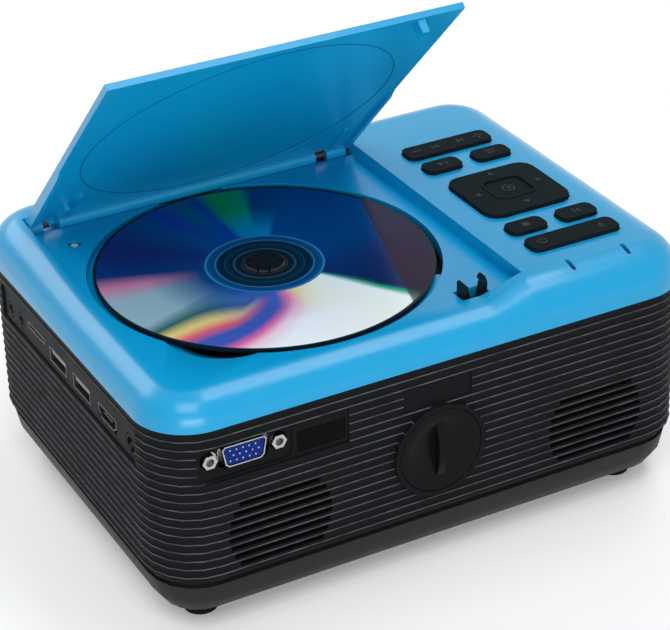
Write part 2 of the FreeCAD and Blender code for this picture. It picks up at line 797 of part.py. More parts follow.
def bevelled_top(body, r, z):
    return body.makeChamfer(r, edges_at(body, z))


def ramp_section(x, top, rnd):
    """Section of the front slope, from the seam up over the rounded edge and back."""
    y_in = RECESS_Y0 + WALL
    c = math.sqrt(0.5)
    a = V(x, FRONT_Y, SEAM_Z)
    b = V(x, FRONT_Y, top - rnd)
    m = V(x, FRONT_Y + rnd * (1 - c), top - rnd * (1 - c))
    d = V(x, FRONT_Y + rnd, top)
    e = V(x, y_in, top)
    f = V(x, y_in, SEAM_Z)
    arc = Part.Arc(b, m, d).toShape()
    return Part.Wire([Part.makeLine(a, b), arc, Part.makeLine(d, e), Part.makeLine(e, f),
                      Part.makeLine(f, a)])


def scoop_pad(grow):
    """Thick spot under the finger scoop; with some growth it is also the bite out of the drive tray."""
    x, y = polar(SCOOP_DIST, SCOOP_DEG)
    return rod_z(x, y, SCOOP_RIM_R + WALL + grow, PAD_BOTTOM - grow, DECK_Z - DECK_T / 2)


def make_top_cover():
    low, high = cover_form(0.0, DECK_Z, PLATEAU_Z, LOW_ROUND, HIGH_ROUND, RECESS_X1, rounded_top)
    rim = domed_prism(BODY_L, BODY_W, BODY_R, SEAM_Z - 4 * WALL, DECK_Z, LOW_ROUND)
    rim.rotate(V(0, 0, DECK_Z), X_AXIS, RIM_SLOPE_DEG)
    keep_box = prism(BODY_L, BODY_W, BODY_R, SEAM_Z, 2 * DECK_Z)
    keep_box = keep_box.common(box(-BODY_L, RECESS_X1, 0, BODY_W, SEAM_Z, 2 * DECK_Z))
    rim = rim.common(keep_box)
    ramp = Part.makeLoft([ramp_section(RAMP_X0, DECK_Z, LOW_ROUND),
                          ramp_section(RECESS_X1, PLATEAU_Z, HIGH_ROUND)], True, True)
    body = low.fuse([high, rim, ramp])
    low_in, high_in = cover_form(WALL, DECK_Z - DECK_T, PLATEAU_IN, LOW_BEVEL, HIGH_BEVEL, RECESS_X1 + WALL,
                                 bevelled_top)
    body = body.cut([low_in, high_in])

    # Well with its ledge, and the pad under the finger scoop
    span = math.hypot(SCOOP_RIM_R, SCOOP_DEPTH)
    ball_r = span * span / (2 * SCOOP_DEPTH)
    sx, sy = polar(SCOOP_DIST, SCOOP_DEG)
    ball_at = V(sx, sy, DECK_Z + ball_r - SCOOP_DEPTH)
    pad = scoop_pad(0)
    gutter = rod_x(HINGE_Y, HINGE_Z, TROUGH_R + TROUGH_WALL, RECESS_X0 - WALL, RECESS_X1 + WALL)
    gutter = gutter.common(box(-BODY_L, BODY_L, 0, RECESS_Y1 + WALL, SEAM_Z, DECK_Z))
    body = body.fuse([gutter, pad])
    body = body.cut(cyl_z(DISC_X, DISC_Y, WELL_R, LEDGE_TOP, DECK_Z + DECK_T))
    body = body.cut(cyl_z(DISC_X, DISC_Y, LEDGE_R, SEAM_Z, DECK_Z))
    body = body.cut(Part.makeSphere(ball_r, ball_at))
    wedge_r = 2 * WELL_R
    opening = cyl_z(DISC_X, DISC_Y, WELL_R, SEAM_Z, DECK_Z)
    ax, ay = polar(wedge_r, OPEN_FROM_DEG)
    bx, by = polar(wedge_r, (OPEN_FROM_DEG + OPEN_TO_DEG) / 2)
    ex, ey = polar(wedge_r, OPEN_TO_DEG)
    wedge = Part.Face(Part.makePolygon([V(DISC_X, DISC_Y, SEAM_Z), V(ax, ay, SEAM_Z), V(bx, by, SEAM_Z),
                                        V(ex, ey, SEAM_Z), V(DISC_X, DISC_Y, SEAM_Z)]))
    body = body.cut(opening.common(wedge.extrude(V(0, 0, DECK_Z))))

    # Lid recess, hinge trough and pin bores
    body = body.cut(box(RECESS_X0, RECESS_X1, RECESS_Y0, RECESS_Y1, DECK_Z, 2 * DECK_Z))
    body = body.cut(rod_x(HINGE_Y, HINGE_Z, TROUGH_R, RECESS_X0, RECESS_X1))
    boss = rod_x(HINGE_Y, HINGE_Z, PIN_R + WALL / 2, RECESS_X1, RECESS_X1 + PIN_END)
    boss = boss.common(box(RECESS_X1, BODY_L, 0, BODY_W, SEAM_Z, PLATEAU_IN))
    body = body.fuse(boss)
    body = body.cut(rod_x(HINGE_Y, HINGE_Z, around(PIN_R), RECESS_X0 - 2 * WALL, RECESS_X1 + PIN_END))
    # Latch hole and lid switch hole
    body = body.cut(block(LATCH_X, LATCH_Y, LATCH_HOLE_L, LATCH_HOLE_W, SEAM_Z, 2 * DECK_Z))
    body = body.cut(cyl_z(SWITCH_X, SWITCH_Y, SWITCH_HOLE_R, SEAM_Z, 2 * DECK_Z))
    # Key and light holes
    for rect in KEYS.values():
        r = DPAD_R if rect == KEYS["dpad"] else KEY_R
        body = body.cut(key_prism(rect, KEY_GAP, r, SEAM_Z, 2 * DECK_Z))
    for x in LED_X:
        body = body.cut(prism(LED_W, LED_L, LED_W / 2 - 0.01, SEAM_Z, 2 * DECK_Z, x, LED_Y))
    # Posts down to the base with webs to the corners, hangers for the drive, and the key board's bosses
    posts = []
    for x, y in corners(FOOT_X, FOOT_Y):
        posts.append(rod_z(x, y, POST_R, BASE_TOP, POST_TOP))
        web = box(0, BODY_R - WALL / 2, -WEB_T / 2, WEB_T / 2, SEAM_Z, POST_TOP - WALL)
        web.rotate(V(0, 0, 0), Z_AXIS, math.degrees(math.atan2(y / FOOT_Y, x / FOOT_X)))
        web.translate(V(x, y, 0))
        posts.append(web)
    for x, y in MOUNT_POINTS:
        posts.append(rod_z(x, y, HANGER_R, TRAY_Z + TRAY_T, DECK_Z - DECK_T / 2))
    for x, y in KEY_POSTS:
        posts.append(block(x, y, 2 * BOSS_R, 2 * BOSS_R, KEY_BOARD_TOP, PLATEAU_IN + WALL / 2))
    body = body.fuse(posts)
    keep("top_cover", body.removeSplitter())


def make_side_band():
    z_lip = BASE_TOP + BAND_CHAMFER_H
    section = [(WALL + BASE_INSET, BASE_TOP), (WALL, z_lip), (WALL, SEAM_Z), (0, SEAM_Z)]
    for k in range(1, RIB_COUNT + 1):
        section += [(RIB_DEPTH, crest(k) + RIB_FLANK), (0, crest(k))]
    section += [(0, z_lip), (BASE_INSET, BASE_TOP)]
    band = frame_sweep(section, BODY_L, BODY_W, BODY_R)

    # Port bay with a sloped sill, and the opening behind it
    band = band.cut(box(LEFT_X - WALL, LEFT_X + 2 * WALL, BAY_Y0, BAY_Y1, BAY_Z0, BAY_Z1))
    sill = RIB_DEPTH + SEAT
    band = band.cut(xz_prism([(LEFT_X - sill, BAY_Z0), (LEFT_X + sill, BAY_Z0),
                              (LEFT_X - sill, BAY_Z0 - 2 * sill)],
                             BAY_Y0, BAY_Y1))
    # Flat fields on the long near face
    front = FRONT_Y - WALL
    band = band.cut(box(VGA_FIELD_X0, IR_FIELD_X1, front, FRONT_Y + FLAT_DEPTH, VGA_FIELD_Z0, VGA_FIELD_Z1))
    band = band.cut(slot_y(VGA_FIELD_X0 + 1, VGA_BAY_X1, VGA_FIELD_Z0 + 1, VGA_FIELD_Z1 - 1, VGA_BAY_R,
                           front, FRONT_Y + VGA_BAY_DEPTH))
    through = FRONT_Y + 2 * WALL
    band = band.cut(slot_y(VGA_X - VGA_HOLE_L / 2, VGA_X + VGA_HOLE_L / 2, VGA_Z - VGA_HOLE_H / 2,
                           VGA_Z + VGA_HOLE_H / 2, VGA_HOLE_R, front, through))
    for side in (-1, 1):
        band = band.cut(rod_y(VGA_X + side * VGA_SCREW_PITCH / 2, VGA_Z, JACKSCREW_HOLE_R, front, through))
    band = band.cut(slot_y(IR_X - IR_L / 2, IR_X + IR_L / 2, IR_Z - IR_H / 2, IR_Z + IR_H / 2, IR_R, front,
                           through))
    band = band.cut(box(LABEL_X - LABEL_L / 2, LABEL_X + LABEL_L / 2, front, FRONT_Y + FLAT_DEPTH, LABEL_Z0,
                        LABEL_Z1))
    # Dial collar
    band = band.fuse(cyl_y(DIAL_X, DIAL_Z, DIAL_RING_R, FRONT_Y - DIAL_PROUD, FRONT_Y + WALL))
    band = band.cut(cyl_y(DIAL_X, DIAL_Z, DIAL_HOLE_R, front, through))
    # Speaker grilles
    slots = []
    for side in (-1, 1):
        for k in range(GRILLE_FIRST, GRILLE_FIRST + GRILLE_ROWS):
            z = crest(k) - RIB_PITCH / 2 + SLOT_GAP
            half = math.sqrt(GRILLE_R ** 2 - (z - GRILLE_Z) ** 2)
            slots.append(box(side * SPEAKER_X - half, side * SPEAKER_X + half, front, through,
                             z - SLOT_H / 2, z + SLOT_H / 2))
    # Air outlet on the short right face
    for k in range(VENT_FIRST, VENT_FIRST + VENT_ROWS):
        z = crest(k) - RIB_PITCH / 2 + SLOT_GAP
        slots.append(box(RIGHT_X - 2 * WALL, RIGHT_X + WALL, -FAN_ROTOR_R, FAN_ROTOR_R, z - SLOT_H / 2,
                         z + SLOT_H / 2))
    band = band.cut(slots)
    # Lens collar on the far face
    collar = rod_y(AXIS_X, AXIS_Z, LENS_COLLAR_R, BACK_Y - COLLAR_DEPTH, BACK_Y, WIDE_SIDES)
    band = band.fuse(collar)
    mouth = around(FOCUS_R + FOCUS_CLEAR, WIDE_SIDES)
    band = band.cut(rod_y(AXIS_X, AXIS_Z, mouth, BACK_Y - 2 * COLLAR_DEPTH, BACK_Y + WALL, WIDE_SIDES))
    lip = rod_y(AXIS_X, AXIS_Z, LENS_COLLAR_R, BACK_Y - COLLAR_DEPTH, BACK_Y - COLLAR_DEPTH + LIP_T,
                WIDE_SIDES)
    lip = lip.cut(rod_y(AXIS_X, AXIS_Z, around(TUBE_R + FOCUS_CLEAR, WIDE_SIDES), 0, BODY_W, WIDE_SIDES))
    band = band.fuse(lip)
    # Staked studs that carry the speakers
    studs = []
    z = SPEAKER_Z + SPEAKER_R + SPEAKER_TAB - BOSS_R
    for side in (-1, 1):
        for dx in stud_offsets():
            x = side * SPEAKER_X + dx
            studs.append(box(x - STUD_R, x + STUD_R, FRONT_Y + WALL / 2,
                             FRONT_Y + WALL + 2 * SPEAKER_FLANGE_T,
                             z - STUD_R, z + STUD_R))
    band = band.fuse(studs)
    keep("side_band", band.removeSplitter())


def base_section():
    """Section of the base wall: the rounded outside in short flats and a bevelled inside."""
    points = []
    for i in range(BASE_STEPS + 1):
        a = math.radians(90.0 * i / BASE_STEPS)
        points.append((BASE_ROUND * (1 - math.cos(a)), FOOT_H + BASE_ROUND * (1 - math.sin(a))))
    bevel = BASE_ROUND - 2 * WALL
    return points + [(BASE_ROUND, FOOT_H + WALL), (BASE_ROUND - WALL, FOOT_H + WALL),
                     (WALL, FOOT_H + WALL + bevel),
                     (WALL, points[0][1])]


def make_bottom_cover():
    lx, ly, r = BODY_L - 2 * BASE_INSET, BODY_W - 2 * BASE_INSET, BODY_R - BASE_INSET
    walls = frame_sweep(base_section(), lx, ly, r)
    floor = prism(lx - 2 * BASE_ROUND, ly - 2 * BASE_ROUND, r - BASE_ROUND, FOOT_H, FOOT_H + WALL)
    body = fuse([walls, floor])
    floor_top = FOOT_H + WALL / 2
    extra = [rod_z(x, y, POST_R, floor_top, BASE_TOP) for x, y in corners(FOOT_X, FOOT_Y)]
    extra += [block(x, y, 2 * POST_R, 2 * POST_R, floor_top, ENGINE_FLOOR) for x, y in ENGINE_FEET]
    extra += [block(x, y, 2 * BOSS_R, 2 * BOSS_R, floor_top, BOARD_BOTTOM) for x, y in BOARD_POSTS]
    bearing = box(DIAL_X - 2 * DIAL_SHAFT_R, DIAL_X + 2 * DIAL_SHAFT_R, BEARING_Y, BEARING_Y + 2 * WALL,
                  floor_top, DIAL_Z + 2 * DIAL_SHAFT_R)
    extra.append(bearing.cut(rod_y(DIAL_X, DIAL_Z, around(DIAL_SHAFT_R + PIN_GAP), -BODY_W, 0)))
    body = body.fuse(extra)
    body = body.cut([rod_z(x, y, FOOT_R, 0, FOOT_H + FOOT_SINK, WIDE_SIDES) for x,
                     y in corners(FOOT_X, FOOT_Y)])
    # Air inlet slots in the floor
    inlets = [block(INLET_X + i * INLET_PITCH, INLET_Y, INLET_W, INLET_L, 0, FOOT_H + 2 * WALL)
              for i in range(INLET_COUNT)]
    keep("bottom_cover", body.cut(inlets).removeSplitter())


def make_feet():
    feet = [rod_z(x, y, FOOT_R, 0, FOOT_H + FOOT_SINK, WIDE_SIDES) for x, y in corners(FOOT_X, FOOT_Y)]
    keep("feet", Part.makeCompound(feet))


def make_lid():
    x0, x1 = RECESS_X0 + LID_GAP, RECESS_X1 - LID_GAP
    y_f = HINGE_Y - LID_FRONT
    section = [(y_f, LID_TOP_FRONT), (HINGE_Y, LID_TOP_BACK), (HINGE_Y, LID_TOP_BACK - LID_T),
               (y_f, LID_TOP_FRONT - LID_T)]
    plate = yz_prism(section, x0, x1)
    slope = (LID_TOP_BACK - LID_TOP_FRONT) / LID_FRONT

    def under(y):
        return LID_TOP_FRONT - LID_T + slope * (y - y_f)

    low = DECK_Z + SKIRT_CLEAR
    y_b = HINGE_Y - TROUGH_R - LID_GAP
    step = 3 * SKIRT_W
    skirts = []
    for sx0, sx1 in ((x0, x0 + SKIRT_W), (x1 - SKIRT_W, x1)):
        pts = [(y_f, under(y_f) + SEAT), (SKIRT_STEP_Y - step, under(SKIRT_STEP_Y) - SEAT),
               (SKIRT_STEP_Y, low),
               (y_b, low), (y_b, under(y_b) + SEAT)]
        skirts.append(yz_prism(pts, sx0, sx1))
    strike = block(LATCH_X, LATCH_Y, STRIKE_W, STRIKE_L, under(LATCH_Y) - STRIKE_DROP,
                   under(LATCH_Y) + LID_T / 2)
    pin = rod_z(SWITCH_X, SWITCH_Y, SWITCH_PIN_R, SWITCH_PIN_TOP - SWITCH_TRAVEL + SKIRT_CLEAR,
                under(SWITCH_Y) + LID_T / 2)
    ribs = [box(x, x + SKIRT_W, HINGE_Y - HINGE_RIB_L, y_b, under(HINGE_Y - HINGE_RIB_L) - HINGE_RIB_H,
                under(y_b) + SEAT)
            for x in HINGE_RIB_X]
    knuckles = []
    for kx0, kx1 in KNUCKLES:
        knuckles.append(rod_x(HINGE_Y, HINGE_Z, KNUCKLE_R, kx0, kx1, WIDE_SIDES))
    gaps = [box(a[1], b[0], HINGE_Y - KNUCKLE_R, HINGE_Y + KNUCKLE_R, DECK_Z, 2 * DECK_Z)
            for a, b in zip(KNUCKLES, KNUCKLES[1:])]
    gaps.append(box(KNUCKLES[-1][1], x1 + 1, HINGE_Y - KNUCKLE_R, HINGE_Y + KNUCKLE_R, DECK_Z, 2 * DECK_Z))
    body = plate.cut(gaps).fuse(skirts + knuckles + [strike, pin] + ribs)
    bore = around(PIN_R + PIN_GAP)
    body = body.cut(rod_x(HINGE_Y, HINGE_Z, bore, KNUCKLES[0][0], PIN_LEFT_END + LID_GAP))
    body = body.cut(rod_x(HINGE_Y, HINGE_Z, bore, PIN_RIGHT_START - LID_GAP, x1))
    body = body.removeSplitter()
    body.rotate(V(0, HINGE_Y, HINGE_Z), X_AXIS, -LID_OPEN_DEG)
    keep("lid", body)


def make_hinge():
    left = cyl_x(HINGE_Y, HINGE_Z, PIN_R, RECESS_X0 - 2 * WALL, PIN_LEFT_END)
    right = cyl_x(HINGE_Y, HINGE_Z, PIN_R, PIN_RIGHT_START, RECESS_X1 + PIN_END)
    keep("hinge_pins", Part.makeCompound([left, right]))
    x0 = KNUCKLES[1][1] + LID_GAP
    x1 = KNUCKLES[2][0] - LID_GAP
    coil = rod_x(HINGE_Y, HINGE_Z, SPRING_COIL_R, x0, x1)
    keep("lid_spring", coil.cut(rod_x(HINGE_Y, HINGE_Z, SPRING_COIL_R - 2 * SPRING_WIRE_R, x0, x1)))


def make_latch():
    body = block(LATCH_X, LATCH_Y, LATCH_HOLE_L + 2 * LATCH_WALL, LATCH_HOLE_W + 2 * LATCH_WALL,
                 LATCH_BOTTOM, DECK_Z - DECK_T)
    body = body.cut(block(LATCH_X, LATCH_Y, LATCH_HOLE_L, LATCH_HOLE_W, LATCH_BOTTOM + LATCH_WALL, DECK_Z))
    keep("latch_body", body)
    floor = LATCH_BOTTOM + LATCH_WALL
    plunger_top = JAW_PIVOT_Z + JAW_PIN_R + LATCH_WALL
    plunger_low = floor + LATCH_TRAVEL + LID_GAP
    plunger = block(LATCH_X, LATCH_Y, LATCH_HOLE_L - 2 * LATCH_SIDE, LATCH_HOLE_W - 2 * LATCH_SIDE,
                    plunger_low, plunger_top)
    plunger = plunger.cut(block(LATCH_X, LATCH_Y, LATCH_HOLE_L, JAW_W + 1.4 * LATCH_SIDE,
                                JAW_PIVOT_Z - 3 * JAW_PIN_R, DECK_Z))
    half = LATCH_HOLE_W / 2 - LATCH_SIDE
    for side in (-1, 1):
        x = LATCH_X + side * JAW_PIVOT_DX
        plunger = plunger.fuse(cyl_y(x, JAW_PIVOT_Z, JAW_PIN_R, LATCH_Y - half, LATCH_Y + half))
    keep("latch_plunger", plunger.removeSplitter())
    for name, side, points in (("latch_jaw_left", -1, LEFT_JAW), ("latch_jaw_right", 1, RIGHT_JAW)):
        x = LATCH_X + side * JAW_PIVOT_DX
        points = [(x + dx, JAW_PIVOT_Z + dz) for dx, dz in points]
        jaw = xz_prism(points, LATCH_Y - JAW_W / 2, LATCH_Y + JAW_W / 2)
        keep(name, jaw.cut(rod_y(x, JAW_PIVOT_Z, around(JAW_PIN_R + PIN_GAP), -BODY_W, 0)))


def make_keys():
    for name, rect in KEYS.items():
        rocks = name == "dpad"
        r = DPAD_R if rocks else KEY_R
        flange_top = FLANGE_TOP - DPAD_DROP if rocks else FLANGE_TOP
        cap = key_prism(rect, 0, r, KEY_BOTTOM + KEY_TRAVEL, KEY_TOP)
        lx, ly, cx, cy = key_size(rect, KEY_GAP + KEY_FLANGE)
        flange = block(cx, cy, lx, ly, flange_top - KEY_FLANGE_T, flange_top)
        stubs = [block(x, y, DOME_R, DOME_R, KEY_BOTTOM, FLANGE_TOP) for x, y in dome_points(name, rect)]
        body = fuse([cap, flange] + stubs)
        if rocks:
            body = body.cut(key_prism(OK_KEY, KEY_GAP, KEY_R, KEY_BOTTOM - 1, KEY_TOP + 1))
            lx, ly, cx, cy = key_size(OK_KEY, KEY_GAP + KEY_FLANGE + KEY_GAP)
            body = body.cut(block(cx, cy, lx, ly, KEY_BOTTOM - 1, OK_FLANGE_TOP + OK_ROCK))
            rim = key_prism(OK_KEY, KEY_GAP + OK_RIM_W, KEY_R, KEY_TOP - KEY_EDGE, KEY_TOP + OK_RIM_H)
            rim = rim.cut(key_prism(OK_KEY, KEY_GAP, KEY_R, KEY_BOTTOM, KEY_TOP + 2))
            body = body.fuse(rim).removeSplitter()
        keep(name, body)
    cap = key_prism(OK_KEY, 0, KEY_R, KEY_BOTTOM, KEY_TOP - OK_SINK)
    lx, ly, cx, cy = key_size(OK_KEY, KEY_GAP + KEY_FLANGE)
    flange = block(cx, cy, lx, ly, KEY_BOTTOM, OK_FLANGE_TOP)
    keep("ok_key", fuse([cap, flange]))


def dome_points(name, rect):
    lx, ly, cx, cy = key_size(rect, 0)
    if name == "dpad":
        return [(cx, cy + DPAD_DOME), (cx, cy - DPAD_DOME), (cx + DPAD_DOME, cy), (cx - DPAD_DOME, cy)]
    if lx > 3 * ly:
        return [(cx - lx / 3, cy), (cx + lx / 3, cy)]
    return [(cx, cy)]


def make_key_works():
    mat = box(MAT_X0, MAT_X1, MAT_Y0, MAT_Y1, KEY_BOARD_TOP, MAT_TOP)
    spots = []
    for name, rect in KEYS.items():
        spots += dome_points(name, rect)
    lx, ly, cx, cy = key_size(OK_KEY, 0)
    spots.append((cx, cy))
    domes = [block(x, y, 1.5 * DOME_R, 1.5 * DOME_R, MAT_TOP, DOME_TOP) for x, y in spots]
    keep("key_mat", fuse([mat] + domes))
    board = box(KEY_BOARD_X0, KEY_BOARD_X1, KEY_BOARD_Y0, KEY_BOARD_Y1, KEY_BOARD_BOTTOM, KEY_BOARD_TOP)
    keep("key_board", board)
    pipes = []
    for x in LED_X:
        drop = HIGH_ROUND - math.sqrt(HIGH_ROUND ** 2 - (FRONT_Y + HIGH_ROUND - LED_Y + LED_L / 2) ** 2)
        top = PLATEAU_Z - drop
        bar = prism(LED_W - 2 * PIN_GAP, LED_L - 2 * PIN_GAP, LED_W / 2 - 3 * PIN_GAP, KEY_BOARD_TOP, top,
                    x, LED_Y)
        foot = block(x, LED_Y, 3 * LED_W, LED_L + LED_W / 2, KEY_BOARD_TOP, KEY_BOARD_TOP + LED_W)
        pipes.append(bar.fuse(foot).removeSplitter())
    keep("led_pipes", Part.makeCompound(pipes))


def make_ports():
    x_face = LEFT_X + BAY_DEPTH
    x_back = LEFT_X + WALL
    slab = box(x_face, x_back, BAY_Y0 + SEAT, BAY_Y1 - SEAT, BAY_Z0 + SEAT, BAY_Z1 - SEAT)
    flange = box(x_back, x_back + PANEL_T, BAY_Y0, BAY_Y1, BAY_Z0 - WALL / 2, BAY_Z1 + WALL)
    panel = slab.fuse(flange)
    out, back = LEFT_X - WALL, x_back + 2 * PANEL_T
    windows = [(y, PORT_Z, USB_L, USB_H) for y in USB_Y]
    windows += [(HDMI_Y, PORT_Z, HDMI_L, HDMI_H), (CARD_Y, CARD_Z, CARD_L, CARD_H)]
    for y, z, length, height in windows:
        half_l, half_h = length / 2 + PORT_GAP, height / 2 + PORT_GAP
        panel = panel.cut(box(out, back, y - half_l, y + half_l, z - half_h, z + half_h))
    for y in JACK_Y:
        panel = panel.cut(rod_x(y, PORT_Z, around(JACK_R + PORT_GAP, WIDE_SIDES), out, back, WIDE_SIDES))
    panel = panel.cut(rod_x(DC_Y, PORT_Z, around(DC_R + PORT_GAP, WIDE_SIDES), out, back, WIDE_SIDES))
    keep("port_panel", panel.removeSplitter())

    usb = []
    for y in USB_Y:
        shell = box(x_face, x_face + USB_DEPTH, y - USB_L / 2, y + USB_L / 2, PORT_Z - USB_H / 2,
                    PORT_Z + USB_H / 2)
        shell = shell.cut(box(x_face - 1, x_face + USB_DEPTH - 1, y - USB_L / 2 + METAL_T,
                              y + USB_L / 2 - METAL_T,
                              PORT_Z - USB_H / 2 + METAL_T, PORT_Z + USB_H / 2 - METAL_T))
        tongue = box(x_face + METAL_T, x_face + USB_DEPTH, y - USB_L / 2 + 1.2, y + USB_L / 2 - 1.2,
                     PORT_Z + USB_TONGUE / 2, PORT_Z + USB_H / 2 - METAL_T)
        foot = box(x_face + 2 * PANEL_T + WALL, x_face + USB_DEPTH, y - USB_L / 2, y + USB_L / 2, BOARD_TOP,
                   PORT_Z - USB_H / 2)
        usb.append(fuse([shell, tongue, foot]))
    keep("usb_sockets", Part.makeCompound(usb))

    def hood(grow):
        hl, hh = HDMI_L / 2 - grow, HDMI_H / 2 - grow
        pts = [V(0, HDMI_Y - hl, PORT_Z + hh), V(0, HDMI_Y + hl, PORT_Z + hh),
               V(0, HDMI_Y + hl, PORT_Z - hh / 3),
               V(0, HDMI_Y + hl - hh, PORT_Z - hh), V(0, HDMI_Y - hl + hh, PORT_Z - hh), V(0, HDMI_Y - hl,
                                                                                           PORT_Z - hh / 3)]
        return Part.Face(Part.makePolygon(pts + pts[:1]))

    outer = hood(0).extrude(V(HDMI_DEPTH, 0, 0))
    inner = hood(METAL_T).extrude(V(HDMI_DEPTH - 1, 0, 0))
    shell = outer.cut(inner)
    tongue = box(METAL_T, HDMI_DEPTH, HDMI_Y - HDMI_L / 4, HDMI_Y + HDMI_L / 4, PORT_Z, PORT_Z + METAL_T)
    foot = box(2 * PANEL_T + WALL, HDMI_DEPTH, HDMI_Y - HDMI_L / 3, HDMI_Y + HDMI_L / 3, BOARD_TOP,
               PORT_Z - HDMI_H / 2 + METAL_T / 2)
    hdmi = fuse([shell, tongue, foot])
    hdmi.translate(V(x_face, 0, 0))
    keep("hdmi_socket", hdmi)

    card = box(x_face, x_face + CARD_DEPTH, CARD_Y - CARD_L / 2, CARD_Y + CARD_L / 2, CARD_Z - CARD_H / 2,
               CARD_Z + CARD_H / 2)
    card = card.cut(box(x_face - 1, x_face + CARD_DEPTH - 1, CARD_Y - CARD_L / 2 + METAL_T,
                        CARD_Y + CARD_L / 2 - METAL_T,
                        CARD_Z - CARD_H / 2 + METAL_T, CARD_Z + CARD_H / 2 - METAL_T))
    legs = [box(x_face + 2 * PANEL_T + WALL, x_face + CARD_DEPTH, y, y + 2 * METAL_T, BOARD_TOP,
                CARD_Z - CARD_H / 2)
            for y in (CARD_Y - CARD_L / 2, CARD_Y + CARD_L / 2 - 2 * METAL_T)]
    keep("card_socket", fuse([card] + legs))

    jacks = []
    body_x = x_back + PANEL_T + SEAT
    for y in JACK_Y:
        nose = rod_x(y, PORT_Z, JACK_R, x_face, body_x + PANEL_T, WIDE_SIDES)
        shell = box(body_x, body_x + JACK_DEPTH, y - JACK_R, y + JACK_R, BOARD_TOP, PORT_Z + JACK_R)
        jacks.append(nose.fuse(shell).cut(cyl_x(y, PORT_Z, JACK_BORE_R, x_face,
                                                x_face + JACK_DEPTH)).removeSplitter())
    keep("audio_jacks", Part.makeCompound(jacks))
    nose = rod_x(DC_Y, PORT_Z, DC_R, x_face, body_x + PANEL_T, WIDE_SIDES)
    shell = box(body_x, body_x + JACK_DEPTH, DC_Y - DC_R, DC_Y + DC_R, BOARD_TOP, PORT_Z + DC_R)
    dc = nose.fuse(shell).cut(rod_x(DC_Y, PORT_Z, DC_BORE_R, x_face, x_face + DC_DEPTH, WIDE_SIDES))
    dc = dc.fuse(rod_x(DC_Y, PORT_Z, DC_PIN_R, x_face + METAL_T, x_face + DC_DEPTH + METAL_T))
    keep("dc_jack", dc.removeSplitter())


def make_main_board():
    board = box(BOARD_X0, BOARD_X1, BOARD_Y0, BOARD_Y1, BOARD_BOTTOM, BOARD_TOP)
    notch_x, notch_y = FOOT_X - POST_R - SEAT * 3, FOOT_Y - POST_R - SEAT * 3
    for side in (-1, 1):
        y0, y1 = sorted((side * notch_y, side * BODY_W))
        board = board.cut(box(LEFT_X, -notch_x, y0, y1, BOARD_BOTTOM, BOARD_TOP))
    chips = [block(BOARD_X0 + x, BOARD_Y0 + y, lx, ly, BOARD_TOP, BOARD_TOP + h) for x, y, lx, ly, h in CHIPS]
    keep("main_board", fuse([board] + chips))


def d_outline(grow, y):
    """Outline of the display socket shell: wider on top, sides leaning in to the bottom."""
    hl, hh, lean = VGA_SHELL_L / 2 + grow, VGA_SHELL_H / 2 + grow, VGA_LEAN
    pts = [V(VGA_X - hl, y, VGA_Z + hh), V(VGA_X + hl, y, VGA_Z + hh), V(VGA_X + hl - lean, y, VGA_Z - hh),
           V(VGA_X - hl + lean, y, VGA_Z - hh)]
    return Part.Face(Part.makePolygon(pts + pts[:1]))


def d_solid(grow, y0, y1, r):
    body = d_outline(grow, y0).extrude(V(0, y1 - y0, 0))
    side = [e for e in body.Edges if e.BoundBox.YLength > (y1 - y0) * 0.9]
    return body.makeChamfer(r / 2, side)


def make_vga():
    shell = d_solid(0, VGA_FRONT_Y, VGA_FLANGE_Y, VGA_HOLE_R - METAL_T)
    shell = shell.cut(d_solid(-METAL_T, VGA_FRONT_Y - 1, VGA_FLANGE_Y + 1, VGA_HOLE_R - 2 * METAL_T))
    flange = slot_y(VGA_X - VGA_FLANGE_L / 2, VGA_X + VGA_FLANGE_L / 2, VGA_Z - VGA_FLANGE_H / 2,
                    VGA_Z + VGA_FLANGE_H / 2,
                    METAL_T, VGA_FLANGE_Y, VGA_FLANGE_Y + 2 * METAL_T)
    flange = flange.cut(d_solid(-METAL_T, VGA_FLANGE_Y - 1, VGA_FLANGE_Y + 2, VGA_HOLE_R - 2 * METAL_T))
    for side in (-1, 1):
        flange = flange.cut(rod_y(VGA_X + side * VGA_SCREW_PITCH / 2, VGA_Z, JACK_THREAD_R, -BODY_W, 0))
    keep("vga_shell", fuse([shell, flange]))
    plug = d_solid(-METAL_T - SEAT, VGA_FRONT_Y + VGA_SINK, VGA_FLANGE_Y + 2 * METAL_T,
                   VGA_HOLE_R - 2 * METAL_T - SEAT)
    back = box(VGA_X - VGA_SHELL_L / 2, VGA_X + VGA_SHELL_L / 2, VGA_FLANGE_Y + 2 * METAL_T, VGA_BODY_Y,
               BOARD_TOP, VGA_Z + VGA_SHELL_H / 2)
    insert = fuse([plug, back])
    keep("vga_insert", insert)
    screws = []
    for side in (-1, 1):
        x = VGA_X + side * VGA_SCREW_PITCH / 2
        head = Part.Face(hexagon(x, VGA_Z, JACKSCREW_R, VGA_FRONT_Y - SEAT))
        head = head.extrude(V(0, VGA_FLANGE_Y - VGA_FRONT_Y + SEAT, 0))
        stem = rod_y(x, VGA_Z, JACK_THREAD_R, VGA_FLANGE_Y, VGA_FLANGE_Y + 6 * METAL_T)
        screws.append(head.fuse(stem).cut(cyl_y(x, VGA_Z, JACK_THREAD_R, VGA_FRONT_Y - 1,
                                                VGA_FLANGE_Y - 1)).removeSplitter())
    keep("vga_jackscrews", Part.makeCompound(screws))


def hexagon(x, z, r, y):
    pts = [V(x + r * math.cos(math.radians(a)), y, z + r * math.sin(math.radians(a)))
           for a in range(0, 360, 60)]
    return Part.makePolygon(pts + pts[:1])


